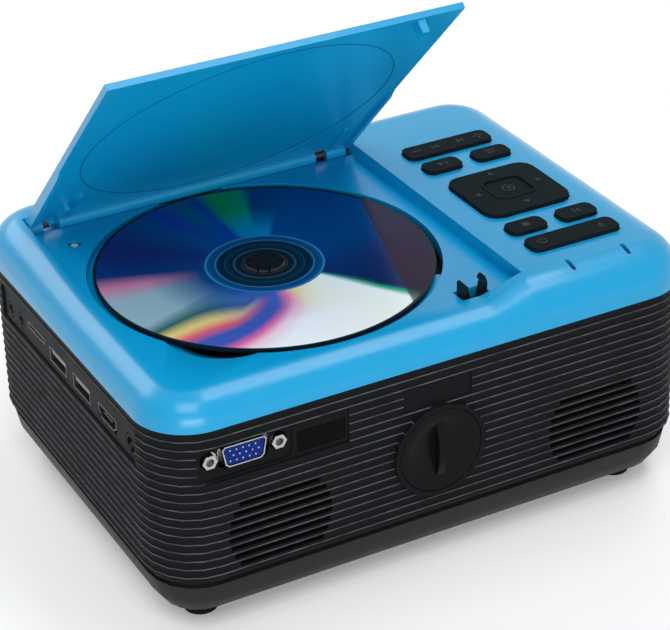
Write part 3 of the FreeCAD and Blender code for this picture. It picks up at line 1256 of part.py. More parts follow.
def make_ir_window():
    y_front = FRONT_Y + FLAT_DEPTH + SEAT
    pane = slot_y(IR_X - IR_L / 2 + SEAT, IR_X + IR_L / 2 - SEAT, IR_Z - IR_H / 2 + SEAT,
                  IR_Z + IR_H / 2 - SEAT, IR_R,
                  y_front, FRONT_Y + WALL)
    flange = slot_y(IR_X - IR_L / 2 - WALL / 2, IR_X + IR_L / 2 + WALL / 2, IR_Z - IR_H / 2 - WALL / 2,
                    IR_Z + IR_H / 2 + WALL / 2, IR_R,
                    FRONT_Y + WALL, FRONT_Y + 1.5 * WALL)
    keep("ir_window", fuse([pane, flange]))


def make_keystone():
    face_y = FRONT_Y - DIAL_PROUD + SEAT
    back_y = FRONT_Y + WALL + SEAT
    disc = cyl_y(DIAL_X, DIAL_Z, DIAL_R, face_y, back_y + DIAL_BACK_T)
    flange = rod_y(DIAL_X, DIAL_Z, DIAL_R + DIAL_LIP, back_y, back_y + DIAL_BACK_T, WIDE_SIDES)
    bowl_r = (DIAL_R ** 2 + DIAL_DISH ** 2) / (2 * DIAL_DISH)
    bowl = Part.makeSphere(bowl_r, V(DIAL_X, face_y - bowl_r + DIAL_DISH - DIAL_BEVEL, DIAL_Z))
    bowl = bowl.common(cyl_y(DIAL_X, DIAL_Z, DIAL_R - DIAL_BEVEL, FRONT_Y - 2 * DIAL_R, 0))
    fin_half = DIAL_R - 2 * DIAL_BEVEL
    arc = Part.Arc(V(DIAL_X, face_y + DIAL_DISH, DIAL_Z - fin_half), V(DIAL_X, face_y - FIN_PROUD, DIAL_Z),
                   V(DIAL_X, face_y + DIAL_DISH, DIAL_Z + fin_half)).toShape()
    chord = Part.makeLine(V(DIAL_X, face_y + DIAL_DISH, DIAL_Z + fin_half),
                          V(DIAL_X, face_y + DIAL_DISH, DIAL_Z - fin_half))
    fin = Part.Face(Part.Wire([arc, chord])).extrude(V(FIN_T, 0, 0))
    fin.translate(V(-FIN_T / 2, 0, 0))
    dial = fuse([disc, flange]).cut(bowl).fuse(fin)
    dial = dial.cut(rod_y(DIAL_X, DIAL_Z, DIAL_SHAFT_R, back_y + DIAL_BACK_T - SHAFT_PRESS, 0))
    keep("keystone_dial", dial.removeSplitter())
    end_y = TILT_Y - TILT_ARM - CRANK_GAP
    shaft = rod_y(DIAL_X, DIAL_Z, DIAL_SHAFT_R, back_y + DIAL_BACK_T - SHAFT_PRESS, end_y - CRANK_T)
    disc = rod_y(DIAL_X, DIAL_Z, CRANK_R + 2 * CRANK_PIN_R, end_y - CRANK_T, end_y)
    pin = rod_y(DIAL_X + CRANK_R, DIAL_Z, CRANK_PIN_R, end_y, end_y + CRANK_PIN_L)
    keep("keystone_shaft", fuse([shaft, disc, pin]))


def make_engine():
    x0, x1 = AXIS_X - ENGINE_HALF, AXIS_X + ENGINE_HALF
    z0, z1 = AXIS_Z - ENGINE_HALF, AXIS_Z + ENGINE_HALF
    t = ENGINE_WALL
    case = box(x0, x1, ENGINE_Y0, ENGINE_Y1, z0, z1)
    case = case.cut(box(x0 + t, x1 - t, ENGINE_Y0 - 1, ENGINE_Y1 - t, z0 + t, z1 - t))
    tube = rod_y(AXIS_X, AXIS_Z, TUBE_R, ENGINE_Y1 - t, TUBE_Y1, WIDE_SIDES)
    ears = [block(x, y, 2 * POST_R, 2 * POST_R, z0, z0 + t) for x, y in ENGINE_FEET]
    case = case.fuse([tube] + ears)
    bore = around(BARREL_R + SLIDE_CLEAR, WIDE_SIDES)
    case = case.cut(rod_y(AXIS_X, AXIS_Z, bore, ENGINE_Y1 - 2 * t, TUBE_Y1, WIDE_SIDES))
    case = case.cut(rod_x(TILT_Y, AXIS_Z, around(TILT_PIN_R + PIN_GAP), x0 - 1, x1 + 1))
    # Rib that holds the condenser
    frame = box(x0 + t / 2, x1 - t / 2, CONDENSER_Y, CONDENSER_Y + LENS_T, z0 + t / 2, z1 - t / 2)
    case = case.fuse(frame.cut(rod_y(AXIS_X, AXIS_Z, LENS_SEAT_R, CONDENSER_Y, CONDENSER_Y + LENS_T,
                                     WIDE_SIDES)))
    keep("engine_housing", case.removeSplitter())
    keep("condenser_lens", rod_y(AXIS_X, AXIS_Z, LENS_SEAT_R, CONDENSER_Y,
                                 CONDENSER_Y + LENS_T + CONDENSER_RISE, WIDE_SIDES))
    # Lamp and heatsink close the rear end of the housing
    plate = box(x0, x1, ENGINE_Y0 - SINK_T, ENGINE_Y0, z0, z1)
    fins = [box(x0, x1, ENGINE_Y0 - SINK_T - FIN_L, ENGINE_Y0 - SINK_T, z, z + SINK_FIN_T)
            for z in [z0 + i * (z1 - z0 - SINK_FIN_T) / (SINK_FINS - 1) for i in range(SINK_FINS)]]
    lamp = box(AXIS_X - LAMP_HALF, AXIS_X + LAMP_HALF, ENGINE_Y0, ENGINE_Y0 + LAMP_T, AXIS_Z - LAMP_HALF,
               AXIS_Z + LAMP_HALF)
    chip = block(AXIS_X, 0, LAMP_CHIP, LAMP_T, AXIS_Z - LAMP_CHIP / 2, AXIS_Z + LAMP_CHIP / 2)
    chip.translate(V(0, ENGINE_Y0 + 1.5 * LAMP_T, 0))
    keep("lamp_heatsink", fuse([plate, lamp, chip] + fins))
    # Tilting frame with its two pivot pins and the fork arm
    fx, fz = LCD_HALF_L + FRAME_W, LCD_HALF_H + FRAME_W
    frame = box(AXIS_X - fx, AXIS_X + fx, TILT_Y - FRAME_T / 2, TILT_Y + FRAME_T / 2, AXIS_Z - fz,
                AXIS_Z + fz)
    frame = frame.cut(box(AXIS_X - LCD_HALF_L + 1, AXIS_X + LCD_HALF_L - 1, -BODY_W, BODY_W,
                          AXIS_Z - LCD_HALF_H + 1, AXIS_Z + LCD_HALF_H - 1))
    pocket = box(AXIS_X - LCD_HALF_L, AXIS_X + LCD_HALF_L, TILT_Y - LCD_T, TILT_Y + FRAME_T,
                 AXIS_Z - LCD_HALF_H, AXIS_Z + LCD_HALF_H)
    frame = frame.cut(pocket)
    lever_x1 = x0 - LEVER_GAP
    lever_x0 = lever_x1 - FORK_T
    pins = [rod_x(TILT_Y, AXIS_Z, TILT_PIN_R, lever_x0, AXIS_X - fx + 1),
            rod_x(TILT_Y, AXIS_Z, TILT_PIN_R, AXIS_X + fx - 1, x1)]
    arm_y = TILT_Y - TILT_ARM
    hub = cyl_x(TILT_Y, AXIS_Z, 2 * TILT_PIN_R, lever_x0, lever_x1)
    arm = yz_prism([(TILT_Y - TILT_PIN_R, AXIS_Z - TILT_PIN_R), (TILT_Y + TILT_PIN_R, AXIS_Z + TILT_PIN_R),
                    (arm_y + FORK_R, DIAL_Z + FORK_R), (arm_y - FORK_Y, DIAL_Z + FORK_R), (arm_y - FORK_Y,
                                                                                           DIAL_Z - FORK_R)],
                   lever_x0, lever_x1)
    reach = box(DIAL_X - FORK_R, lever_x1, arm_y - FORK_Y, arm_y + FORK_Y, DIAL_Z - FORK_R, DIAL_Z + FORK_R)
    reach = reach.cut(box(DIAL_X + CRANK_R - CRANK_SLOT, DIAL_X + CRANK_R + CRANK_PIN_R + FORK_GAP, -BODY_W,
                          BODY_W,
                          DIAL_Z - CRANK_PIN_R - FORK_GAP, DIAL_Z + CRANK_PIN_R + FORK_GAP))
    keep("lcd_frame", fuse([frame, hub, arm, reach] + pins))
    keep("lcd_panel", box(AXIS_X - LCD_HALF_L + PIN_GAP, AXIS_X + LCD_HALF_L - PIN_GAP, TILT_Y - LCD_T,
                          TILT_Y + LCD_T,
                          AXIS_Z - LCD_HALF_H + PIN_GAP, AXIS_Z + LCD_HALF_H - PIN_GAP))


def make_lens():
    t = BARREL_WALL
    barrel = rod_y(AXIS_X, AXIS_Z, BARREL_R, BARREL_Y0, BARREL_Y1, LENS_SIDES)
    keep("lens_barrel", barrel.cut(rod_y(AXIS_X, AXIS_Z, BARREL_R - t, BARREL_Y0, BARREL_Y1, LENS_SIDES)))
    glass = [rod_y(AXIS_X, AXIS_Z, BARREL_R - t, y, y + GLASS_T, LENS_SIDES)
             for y in (BARREL_Y0 + MOUTH_L, BARREL_Y1 - MOUTH_L - GLASS_T)]
    keep("lens_elements", Part.makeCompound(glass))
    points = []
    for i in range(2 * FOCUS_NOTCHES):
        a = math.pi * i / FOCUS_NOTCHES
        r = FOCUS_R - NOTCH_DEPTH * (i % 2)
        points.append((AXIS_X + r * math.cos(a), AXIS_Z + r * math.sin(a)))
    focus = xz_prism(points, FOCUS_Y0, FOCUS_Y1)
    keep("focus_ring", focus.cut(cyl_y(AXIS_X, AXIS_Z, BARREL_R + SLIDE_CLEAR, FOCUS_Y0, FOCUS_Y1)))


def make_speakers():
    speakers = []
    y0 = FRONT_Y + WALL
    y1 = y0 + SPEAKER_FLANGE_T
    for side in (-1, 1):
        x = side * SPEAKER_X
        z_top = SPEAKER_Z + SPEAKER_R + SPEAKER_TAB
        flange = box(x - SPEAKER_TAB_X, x + SPEAKER_TAB_X, y0, y1, SPEAKER_Z - SPEAKER_R, z_top)
        holes = [block(x + dx, (y0 + y1) / 2, 2 * STUD_R, 2 * STUD_R, z_top - BOSS_R - STUD_R,
                       z_top - BOSS_R + STUD_R)
                 for dx in stud_offsets()]
        flange = flange.cut(holes)
        basket = taper_y(x, SPEAKER_Z, (SPEAKER_R - 1, y1), (MAGNET_R + 1, y1 + BASKET_H))
        magnet = rod_y(x, SPEAKER_Z, MAGNET_R, y1 + BASKET_H, y1 + BASKET_H + MAGNET_H)
        dent = taper_y(x, SPEAKER_Z, (SPEAKER_R - 2, y0), (MAGNET_R - 4, y0 + BASKET_H))
        speakers.append(fuse([flange, basket, magnet]).cut(dent).removeSplitter())
    keep("speakers", Part.makeCompound(speakers))


def stud_offsets():
    return (BOSS_R - SPEAKER_TAB_X, SPEAKER_TAB_X - BOSS_R)


def make_fan():
    x1 = RIGHT_X - WALL
    x0 = x1 - FAN_T
    h = FAN_SIZE / 2
    frame = box(x0, x1, -h, h, FAN_Z - h, FAN_Z + h)
    frame = frame.cut(rod_x(0, FAN_Z, around(FAN_ROTOR_R + FAN_TIP_GAP, WIDE_SIDES), x0 - 1, x1 + 1,
                            WIDE_SIDES))
    spokes = [box(x0, x0 + SPOKE_T, -FAN_ROTOR_R - 1, FAN_ROTOR_R + 1, FAN_Z - SPOKE_T / 2,
                  FAN_Z + SPOKE_T / 2),
              box(x0, x0 + SPOKE_T, -SPOKE_T / 2, SPOKE_T / 2, FAN_Z - FAN_ROTOR_R - 1,
                  FAN_Z + FAN_ROTOR_R + 1)]
    seat = rod_x(0, FAN_Z, FAN_HUB_R, x0, x0 + SPOKE_T)
    axle = cyl_x(0, FAN_Z, FAN_AXLE_R, x0, x1 - 2 * SPOKE_T)
    keep("fan_frame", fuse([frame, seat, axle] + spokes))
    rx0, rx1 = x0 + SPOKE_T + FAN_TIP_GAP, x1 - FAN_TIP_GAP
    hub = rod_x(0, FAN_Z, FAN_HUB_R, rx0, rx1, WIDE_SIDES)
    blades = []
    for i in range(FAN_BLADES):
        blade = box(-BLADE_T / 2, BLADE_T / 2, FAN_HUB_R - 1, FAN_ROTOR_R - FAN_TIP_GAP, -BLADE_W / 2,
                    BLADE_W / 2)
        blade.rotate(V(0, 0, 0), Y_AXIS, BLADE_PITCH)
        blade.rotate(V(0, 0, 0), X_AXIS, 360.0 * i / FAN_BLADES)
        blade.translate(V((rx0 + rx1) / 2, 0, FAN_Z))
        blades.append(blade)
    rotor = fuse([hub] + blades)
    keep("fan_rotor", rotor.cut(rod_x(0, FAN_Z, around(FAN_AXLE_R + PIN_GAP), x0, x1 - SPOKE_T)))


def make_disc_and_spindle():
    disc = ring(DISC_X, DISC_Y, DISC_R, DISC_BORE_R, DISC_BOTTOM, DISC_TOP)
    keep("disc", disc)
    table = rod_z(DISC_X, DISC_Y, TABLE_R, DISC_BOTTOM - TABLE_T, DISC_BOTTOM, WIDE_SIDES)
    hub = cyl_z(DISC_X, DISC_Y, HUB_R, DISC_BOTTOM - TABLE_T, HUB_TOP)
    hub = hub.makeChamfer(HUB_CHAMFER, edges_at(hub, HUB_TOP))
    body = fuse([table, hub])
    cuts = []
    for i in range(CLAWS):
        a = 360.0 * i / CLAWS
        for side in (-1, 1):
            slit = box(HUB_R / 2, HUB_R + 1, side * CLAW_W / 2 - CLAW_SLIT / 2,
                       side * CLAW_W / 2 + CLAW_SLIT / 2,
                       DISC_BOTTOM + SEAT, HUB_TOP + 1)
            slit.rotate(V(0, 0, 0), Z_AXIS, a)
            slit.translate(V(DISC_X, DISC_Y, 0))
            cuts.append(slit)
    body = body.cut(cuts)
    keep("turntable", fuse([body, rod_z(DISC_X, DISC_Y, SHAFT_R, MOTOR_Z0 + SHAFT_SINK, DISC_BOTTOM)]))
    motor = rod_z(DISC_X, DISC_Y, MOTOR_R, MOTOR_Z0, MOTOR_Z1, WIDE_SIDES)
    motor = motor.fuse(rod_z(DISC_X, DISC_Y, MOTOR_R + MOTOR_FLANGE, TRAY_Z - MOTOR_FLANGE_T, TRAY_Z,
                             WIDE_SIDES))
    motor = motor.cut(rod_z(DISC_X, DISC_Y, around(SHAFT_R + PIN_GAP), MOTOR_Z0 + SHAFT_SINK - SEAT,
                            MOTOR_Z1))
    keep("spindle_motor", motor.removeSplitter())


def make_drive():
    tray = rod_z(DISC_X, DISC_Y, TRAY_R, TRAY_Z, TRAY_Z + TRAY_T, WIDE_SIDES)
    tray = tray.fuse(box(DISC_X, RAIL_X[1] + RAIL_T, DISC_Y - TRAY_WING, DISC_Y + TRAY_WING, TRAY_Z,
                         TRAY_Z + TRAY_T))
    ears = []
    for x, y in MOUNT_POINTS:
        arm = box(TRAY_R - 2 * EAR_R, MOUNT_R + HANGER_R, -EAR_R, EAR_R, TRAY_Z, TRAY_Z + TRAY_T)
        arm.rotate(V(0, 0, 0), Z_AXIS, math.degrees(math.atan2(y - DISC_Y, x - DISC_X)))
        arm.translate(V(DISC_X, DISC_Y, 0))
        ears.append(arm)
    body = tray.fuse(ears).cut(scoop_pad(FOCUS_CLEAR))
    body = body.cut(rod_z(DISC_X, DISC_Y, MOTOR_R + SEAT, TRAY_Z - 1, TRAY_Z + TRAY_T + 1, WIDE_SIDES))
    sx0 = RAIL_X[0] + RAIL_T
    sx1 = RAIL_X[1]
    body = body.cut(box(sx0, sx1, DISC_Y - SLOT_HALF, DISC_Y + SLOT_HALF, TRAY_Z - 1, TRAY_Z + TRAY_T + 1))
    walls = []
    for x in RAIL_X:
        for y in (DISC_Y - ROD_DY, DISC_Y + ROD_DY):
            walls.append(box(x, x + RAIL_T, y - 2 * ROD_R, y + 2 * ROD_R, ROD_Z - 2 * ROD_R, TRAY_Z))
        walls.append(box(x, x + RAIL_T, SCREW_LINE_Y - 2 * ROD_R, SCREW_LINE_Y + 2 * ROD_R,
                         ROD_Z - 2 * ROD_R, TRAY_Z))
    body = body.fuse(walls)
    for y in (DISC_Y - ROD_DY, DISC_Y + ROD_DY):
        body = body.cut(rod_x(y, ROD_Z, ROD_R, RAIL_X[0] - 1, RAIL_X[1] + 2 * RAIL_T))
    body = body.cut(rod_x(SCREW_LINE_Y, ROD_Z, around(LEAD_R + PIN_GAP), RAIL_X[0] - 1,
                          RAIL_X[1] + 2 * RAIL_T))
    keep("drive_chassis", body.removeSplitter())
    rods = [rod_x(y, ROD_Z, ROD_R, RAIL_X[0], RAIL_X[1] + RAIL_T) for y in (DISC_Y - ROD_DY, DISC_Y + ROD_DY)]
    keep("guide_rods", Part.makeCompound(rods))
    # Sled with its objective
    cx = DISC_X + SLED_START
    half_y = ROD_DY + 2 * ROD_R
    sled = box(cx - SLED_IN, cx + SLED_OUT, DISC_Y - half_y, DISC_Y + half_y, ROD_Z - 2 * ROD_R,
               ROD_Z + 2 * ROD_R)
    deck = box(cx - SLED_IN + 1, cx + SLED_OUT - 1, DISC_Y - SLOT_HALF + 1, DISC_Y + SLOT_HALF - 1, ROD_Z,
               SLED_TOP)
    arm = box(cx - SLED_IN, cx + SLED_IN, SCREW_LINE_Y - 2 * ROD_R, DISC_Y - ROD_DY, ROD_Z - 2 * ROD_R,
              ROD_Z + 2 * ROD_R)
    sled = sled.fuse([deck, arm])
    for y in (DISC_Y - ROD_DY, DISC_Y + ROD_DY):
        sled = sled.cut(rod_x(y, ROD_Z, ROD_R + SLIDE_CLEAR, cx - 2 * SLED_IN, cx + 2 * SLED_OUT))
    sled = sled.cut(rod_x(SCREW_LINE_Y, ROD_Z, around(LEAD_R + SLIDE_CLEAR), cx - 2 * SLED_IN,
                          cx + 2 * SLED_OUT))
    sled = sled.cut(rod_z(cx, DISC_Y, OBJECTIVE_R + OBJECTIVE_GAP, SLED_TOP - OBJECTIVE_SINK, SLED_TOP + 1))
    keep("pickup_sled", sled.removeSplitter())
    lens = rod_z(cx, DISC_Y, OBJECTIVE_R, SLED_TOP - OBJECTIVE_SINK + 2 * OBJECTIVE_GAP, OBJECTIVE_TOP)
    keep("objective_lens", lens)
    lead_end = RAIL_X[1] + RAIL_T + LEAD_OUT
    keep("lead_screw", cyl_x(SCREW_LINE_Y, ROD_Z, LEAD_R, RAIL_X[0], lead_end))
    motor = rod_x(SCREW_LINE_Y, ROD_Z, SLED_MOTOR_R, lead_end - LEAD_OUT + SEAT,
                  lead_end - LEAD_OUT + SLED_MOTOR_L)
    motor = motor.cut(rod_x(SCREW_LINE_Y, ROD_Z, around(LEAD_R + PIN_GAP), lead_end - LEAD_OUT,
                            lead_end + SEAT))
    keep("sled_motor", motor)


def make_lid_switch():
    z0 = SWITCH_TOP - SWITCH_H
    half = SWITCH_L / 2
    body = block(SWITCH_X, SWITCH_Y, SWITCH_L, SWITCH_L, z0, SWITCH_TOP)
    stem = box(SWITCH_X - half, SWITCH_X + half, SWITCH_Y + half, SWITCH_Y + half + WALL, z0, DECK_Z - DECK_T)
    bore = rod_z(SWITCH_X, SWITCH_Y, around(SWITCH_PIN_R + PIN_GAP), z0 + WALL / 2, DECK_Z)
    keep("lid_switch", fuse([body, stem]).cut(bore))
    keep("lid_switch_pin", rod_z(SWITCH_X, SWITCH_Y, SWITCH_PIN_R, z0 + WALL / 2 + SWITCH_TRAVEL + SEAT,
                                 SWITCH_PIN_TOP))


make_top_cover()
make_side_band()
make_bottom_cover()
make_feet()
make_lid()
make_hinge()
make_latch()
make_keys()
make_key_works()
make_ports()
make_main_board()
make_vga()
make_ir_window()
make_keystone()
make_engine()
make_lens()
make_speakers()
make_fan()
make_disc_and_spindle()
make_drive()
make_lid_switch()

for name, shape in PARTS.items():
    shape.exportStep(os.path.join("parts", name + ".step"))
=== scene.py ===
import json
import math

import bmesh
import bpy
from mathutils import Matrix, Vector


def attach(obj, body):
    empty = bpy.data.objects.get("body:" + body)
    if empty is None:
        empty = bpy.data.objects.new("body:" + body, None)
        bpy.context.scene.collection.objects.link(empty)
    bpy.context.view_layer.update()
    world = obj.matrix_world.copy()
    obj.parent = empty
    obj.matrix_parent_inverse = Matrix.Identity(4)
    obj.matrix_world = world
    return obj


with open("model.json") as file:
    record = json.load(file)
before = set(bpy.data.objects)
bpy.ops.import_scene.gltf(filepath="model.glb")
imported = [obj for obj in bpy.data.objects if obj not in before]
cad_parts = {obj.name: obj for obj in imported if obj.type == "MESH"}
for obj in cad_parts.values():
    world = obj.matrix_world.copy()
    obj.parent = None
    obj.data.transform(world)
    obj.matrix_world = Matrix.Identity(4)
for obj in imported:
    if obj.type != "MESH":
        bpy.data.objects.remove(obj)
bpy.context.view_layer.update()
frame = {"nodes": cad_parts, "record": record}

MM = 0.001

# ---------------------------------------------------------------- sizes

# Places on the solids, in metres
BODY_L, BODY_W, BODY_R = 209.0 * MM, 157.0 * MM, 20.0 * MM
SEAM_Z = 81.0 * MM
RIB_PITCH = 3.314 * MM
DISC = Vector((-29.0, -5.1)) * MM
KEY_TOP, OK_TOP = 99.0 * MM, 98.6 * MM
VGA = Vector((-74.35, -77.85, 69.4)) * MM

# Solids: facets nearer than WELD are joined, and edges sharper than SMOOTH_DEG stay sharp
WELD = 0.002 * MM
SMOOTH_DEG = 38.0

# Disc, in mm from its middle: outer radius, where the tracks start, and where the clear rim starts
DISC_R, DATA_R, CLEAR_R = 60.0, 21.3, 58.7
# Turn by which the colour bands lag near the hub
SWEEP = 0.09
# Straight edge of a dark reflection that lies across the disc
CHORD_TURN = math.radians(-16.0)
CHORD_AT = 43.0 * MM + DISC.x * math.cos(CHORD_TURN) + DISC.y * math.sin(CHORD_TURN)
# How fast that reflection and the clear rim set in, per mm, and the wave of the tracks
CHORD_STEEP, CLEAR_STEEP = 1.2, 3.0
TRACK_WAVE = 40.0

# Lip behind the gap between band and base, in metres
LIP_IN, LIP_T = 2.9 * MM, 0.8 * MM
LIP_LOW, LIP_HIGH = 18.4 * MM, 22.6 * MM
CORNERS = ((1, 1), (-1, 1), (-1, -1), (1, -1))
CORNER_STEPS = 10

# Contacts of the display socket, in mm
VGA_ROWS, VGA_COLUMNS = 3, 5
VGA_PITCH, VGA_ROW_PITCH, VGA_STAGGER = 2.29, 1.98, 0.57
CONTACT_OUTER_R, CONTACT_INNER_R, CONTACT_DEPTH = 0.46, 0.30, 0.5
CONTACT_SIDES = 12

# Marks on the keys: how far they sink into and stand above the key, in metres
MARK_SINK, MARK_H = 0.05 * MM, 0.14 * MM
# Heights of the rows of keys and middles of the two pads, in mm
TOP_BAR_Y, TOP_KEYS_Y, BOTTOM_KEYS_Y, BOTTOM_BAR_Y = 33.3, 19.2, -37.8, -51.4
PAD_X, PAD_Y, PAD_ARROWS_R = 68.2, -10.0, 12.6
OK_X, OK_Y = 68.4, -9.6
RING_STEPS = 10

# Lid: hinge line and opening angle
HINGE = Vector((0, 59.0, 93.8)) * MM
LID_OPEN = math.radians(45.7)
# Middle of the lid's lines in mm, along X and from the hinge, and its inner face, which leans
# by LID_TAPER of its length
LID_MIDDLE_X, LID_MIDDLE = -26.7, 61.5
LID_INNER, LID_TAPER = 0.80, 0.014625
# Lines on the lid: degrees in a step, and mm in the lid and out of it
LINE_STEP, LINE_SINK, LINE_H = 3.0, 0.05, 0.10

# Stage, in metres: the floor's own white rises to full over FLOOR_FADE, from FLOOR_NEAR on
FLOOR_SIZE, FLOOR_Z = 8.0, -0.2 * MM
FLOOR_WHITE = 0.22
FLOOR_NEAR, FLOOR_FADE = 0.35, 1.2
WORLD_LIGHT, WORLD_TINT = 0.24, (0.92, 0.95, 1.0)
# Lamps: place, target, size and power in watts
LAMPS = {
    "key": ((-0.5, -0.9, 1.5), (0, 0, 0.05), (0.9, 0.9), 12),
    "top": ((0.45, -0.10, 1.3), (0, -0.02, 0.09), (1.0, 0.35), 6),
    "front": ((-0.5, -1.3, 0.24), (0, 0.03, 0.13), (0.9, 0.4), 8),
    "back": ((-0.45, 1.15, 0.95), (0, 0, 0.08), (1.2, 0.6), 8),
}

# Camera, fitted to the photographed view
CAMERA_AT = Vector((-343.48, -654.75, 478.94)) * MM
CAMERA_LOOK = Vector((0.405151, 0.770252, -0.492509))
CAMERA_ROLL = math.radians(-1.468)
CAMERA_LENS, CAMERA_SENSOR = 125.794, 36.0
CAMERA_NEAR, CAMERA_FAR = 0.01, 20


# ---------------------------------------------------------------- colours

def srgb(r, g, b):
    """Linear colour of an 8-bit one."""
    out = []
    for v in (r, g, b):
        v /= 255
        out.append(v / 12.92 if v <= 0.04045 else ((v + 0.055) / 1.055) ** 2.4)
    return tuple(out)


def scaled(colour, factor):
    return tuple(min(1, c * factor) for c in colour)


BLUE = srgb(5, 151, 202)
BLACK = srgb(21, 23, 25)
# Painted highlights: on faces of black plastic that face up, and as thin lines on the band's ribs
UP_HIGHLIGHT = srgb(58, 60, 63)
RIB_HIGHLIGHT = srgb(96, 98, 101)
CLEAR_RIM = srgb(16, 30, 40)
CHORD_SHADE, CHORD_DEPTH = srgb(36, 6, 34), 0.82

# Fan of colours on the disc at its rim, with painted reflections and painted rainbow sheen: part
# of a turn from -X on, and 8-bit colour
PALE = (150, 182, 192)
RIM_FAN = (
    # the pale wedge of painted reflection, and the painted rainbow bands along it
    (0.000, PALE), (0.055, PALE), (0.070, (20, 96, 96)), (0.084, (240, 214, 130)),
    (0.098, (226, 96, 120)), (0.112, (60, 92, 176)), (0.132, (66, 88, 178)),
    (0.146, (232, 110, 168)), (0.160, (246, 214, 226)),
    # the white wedge of painted reflection, with a painted green rainbow edge
    (0.185, (244, 248, 252)), (0.300, (246, 250, 240)), (0.344, (246, 252, 250)),
    (0.351, (60, 190, 150)),
    # the deep blue side
    (0.360, (10, 36, 84)), (0.440, (20, 36, 92)), (0.520, (4, 62, 122)),
    (0.640, (2, 74, 138)), (0.692, (0, 70, 124)),
    # the green streak of painted rainbow sheen, and fainter ones round to the pale wedge
    (0.702, (0, 148, 108)), (0.735, (8, 142, 76)), (0.750, (6, 66, 156)),
    (0.772, (0, 92, 128)), (0.795, (28, 60, 156)), (0.820, (4, 76, 136)),
    (0.880, (28, 40, 104)), (0.945, (10, 52, 116)), (0.968, (208, 124, 160)), (1.000, PALE))
# The same near the hub
DEEP = (8, 72, 128)
CORE_FAN = (
    (0.000, DEEP), (0.095, (30, 86, 158)), (0.130, (56, 92, 178)), (0.200, (70, 96, 182)),
    (0.225, (236, 130, 176)), (0.250, (244, 222, 160)), (0.290, (246, 246, 226)),
    (0.350, (244, 252, 250)), (0.360, (40, 150, 140)), (0.370, (12, 44, 96)),
    (0.520, (4, 66, 128)), (0.655, (2, 76, 140)), (0.668, (4, 140, 192)),
    (0.735, (0, 128, 188)), (0.750, (6, 66, 156)), (0.820, (4, 76, 136)),
    (0.880, (24, 46, 112)), (1.000, DEEP))
# Rings of the hub: radius in mm and 8-bit colour, over a ramp of HUB_SPAN
HUB_SPAN = 66
HUB_RINGS = (
    (0.0, (3, 6, 9)), (7.4, (4, 8, 12)), (7.8, (70, 52, 54)), (8.4, (12, 26, 36)),
    (10.2, (14, 34, 48)), (10.8, (60, 84, 100)), (11.3, (4, 34, 50)),
    (13.6, (4, 44, 64)), (14.0, (30, 66, 84)), (14.5, (2, 34, 52)),
    (16.8, (3, 38, 60)), (17.2, (60, 120, 160)), (17.9, (4, 66, 112)),
    (20.2, (8, 84, 140)), (20.8, (70, 142, 190)), (DATA_R, (6, 62, 116)))


# ---------------------------------------------------------------- materials

class Nodes:
    """Short way to write the nodes of a material, new or existing."""

    def __init__(self, mat):
        if isinstance(mat, str):
            mat = bpy.data.materials.new(mat)
            mat.use_nodes = True
        self.mat, self.tree = mat, mat.node_tree
        self.bsdf = self.tree.nodes["Principled BSDF"]

    def add(self, kind, **props):
        node = self.tree.nodes.new(kind)
        for key, value in props.items():
            setattr(node, key, value)
        return node

    def link(self, a, b):
        self.tree.links.new(a, b)

    def feed(self, name, socket):
        """A socket of the shader that varies over the surface."""
        self.link(socket, self.bsdf.inputs[name])

    def fix(self, **values):
        """Sockets of the shader that are the same all over, with _ for each space."""
        for name, value in values.items():
            self.bsdf.inputs[name.replace("_", " ")].default_value = value

    def place(self):
        return self.add("ShaderNodeTexCoord").outputs["Object"]

    def axes(self, vector):
        node = self.add("ShaderNodeSeparateXYZ")
        self.link(vector, node.inputs[0])
        return node.outputs

    def facing_up(self):
        return self.axes(self.add("ShaderNodeNewGeometry").outputs["Normal"])[2]

    def math(self, op, a, b=None, clamp=False):
        node = self.add("ShaderNodeMath", operation=op, use_clamp=clamp)
        for i, v in enumerate((a, b)):
            if v is None:
                continue
            if isinstance(v, (int, float)):
                node.inputs[i].default_value = v
            else:
                self.link(v, node.inputs[i])
        return node.outputs[0]

    def ramp(self, fac, stops):
        """Ramp through stops of a position and a colour or a level of grey."""
        node = self.add("ShaderNodeValToRGB")
        elements = node.color_ramp.elements
        while len(elements) < len(stops):
            elements.new(0.5)
        for element, (position, colour) in zip(elements, stops):
            element.position = position
            element.color = (*colour, 1) if isinstance(colour, tuple) else (*(colour,) * 3, 1)
        self.link(fac, node.inputs[0])
        return node.outputs[0]

    def noise(self, scale, detail=3.0):
        node = self.add("ShaderNodeTexNoise")
        node.inputs["Scale"].default_value = scale
        node.inputs["Detail"].default_value = detail
        self.link(self.place(), node.inputs["Vector"])
        return node.outputs["Fac"]

    def mix(self, fac, a, b):
        node = self.add("ShaderNodeMix", data_type="RGBA")
        for i, v in ((0, fac), (6, a), (7, b)):
            if isinstance(v, tuple):
                node.inputs[i].default_value = (*v, 1)
            elif isinstance(v, (int, float)):
                node.inputs[i].default_value = v
            else:
                self.link(v, node.inputs[i])
        return node.outputs[2]

    def bump(self, height, strength, distance):
        node = self.add("ShaderNodeBump")
        node.inputs["Strength"].default_value = strength
        node.inputs["Distance"].default_value = distance
        self.link(height, node.inputs["Height"])
        self.feed("Normal", node.outputs[0])


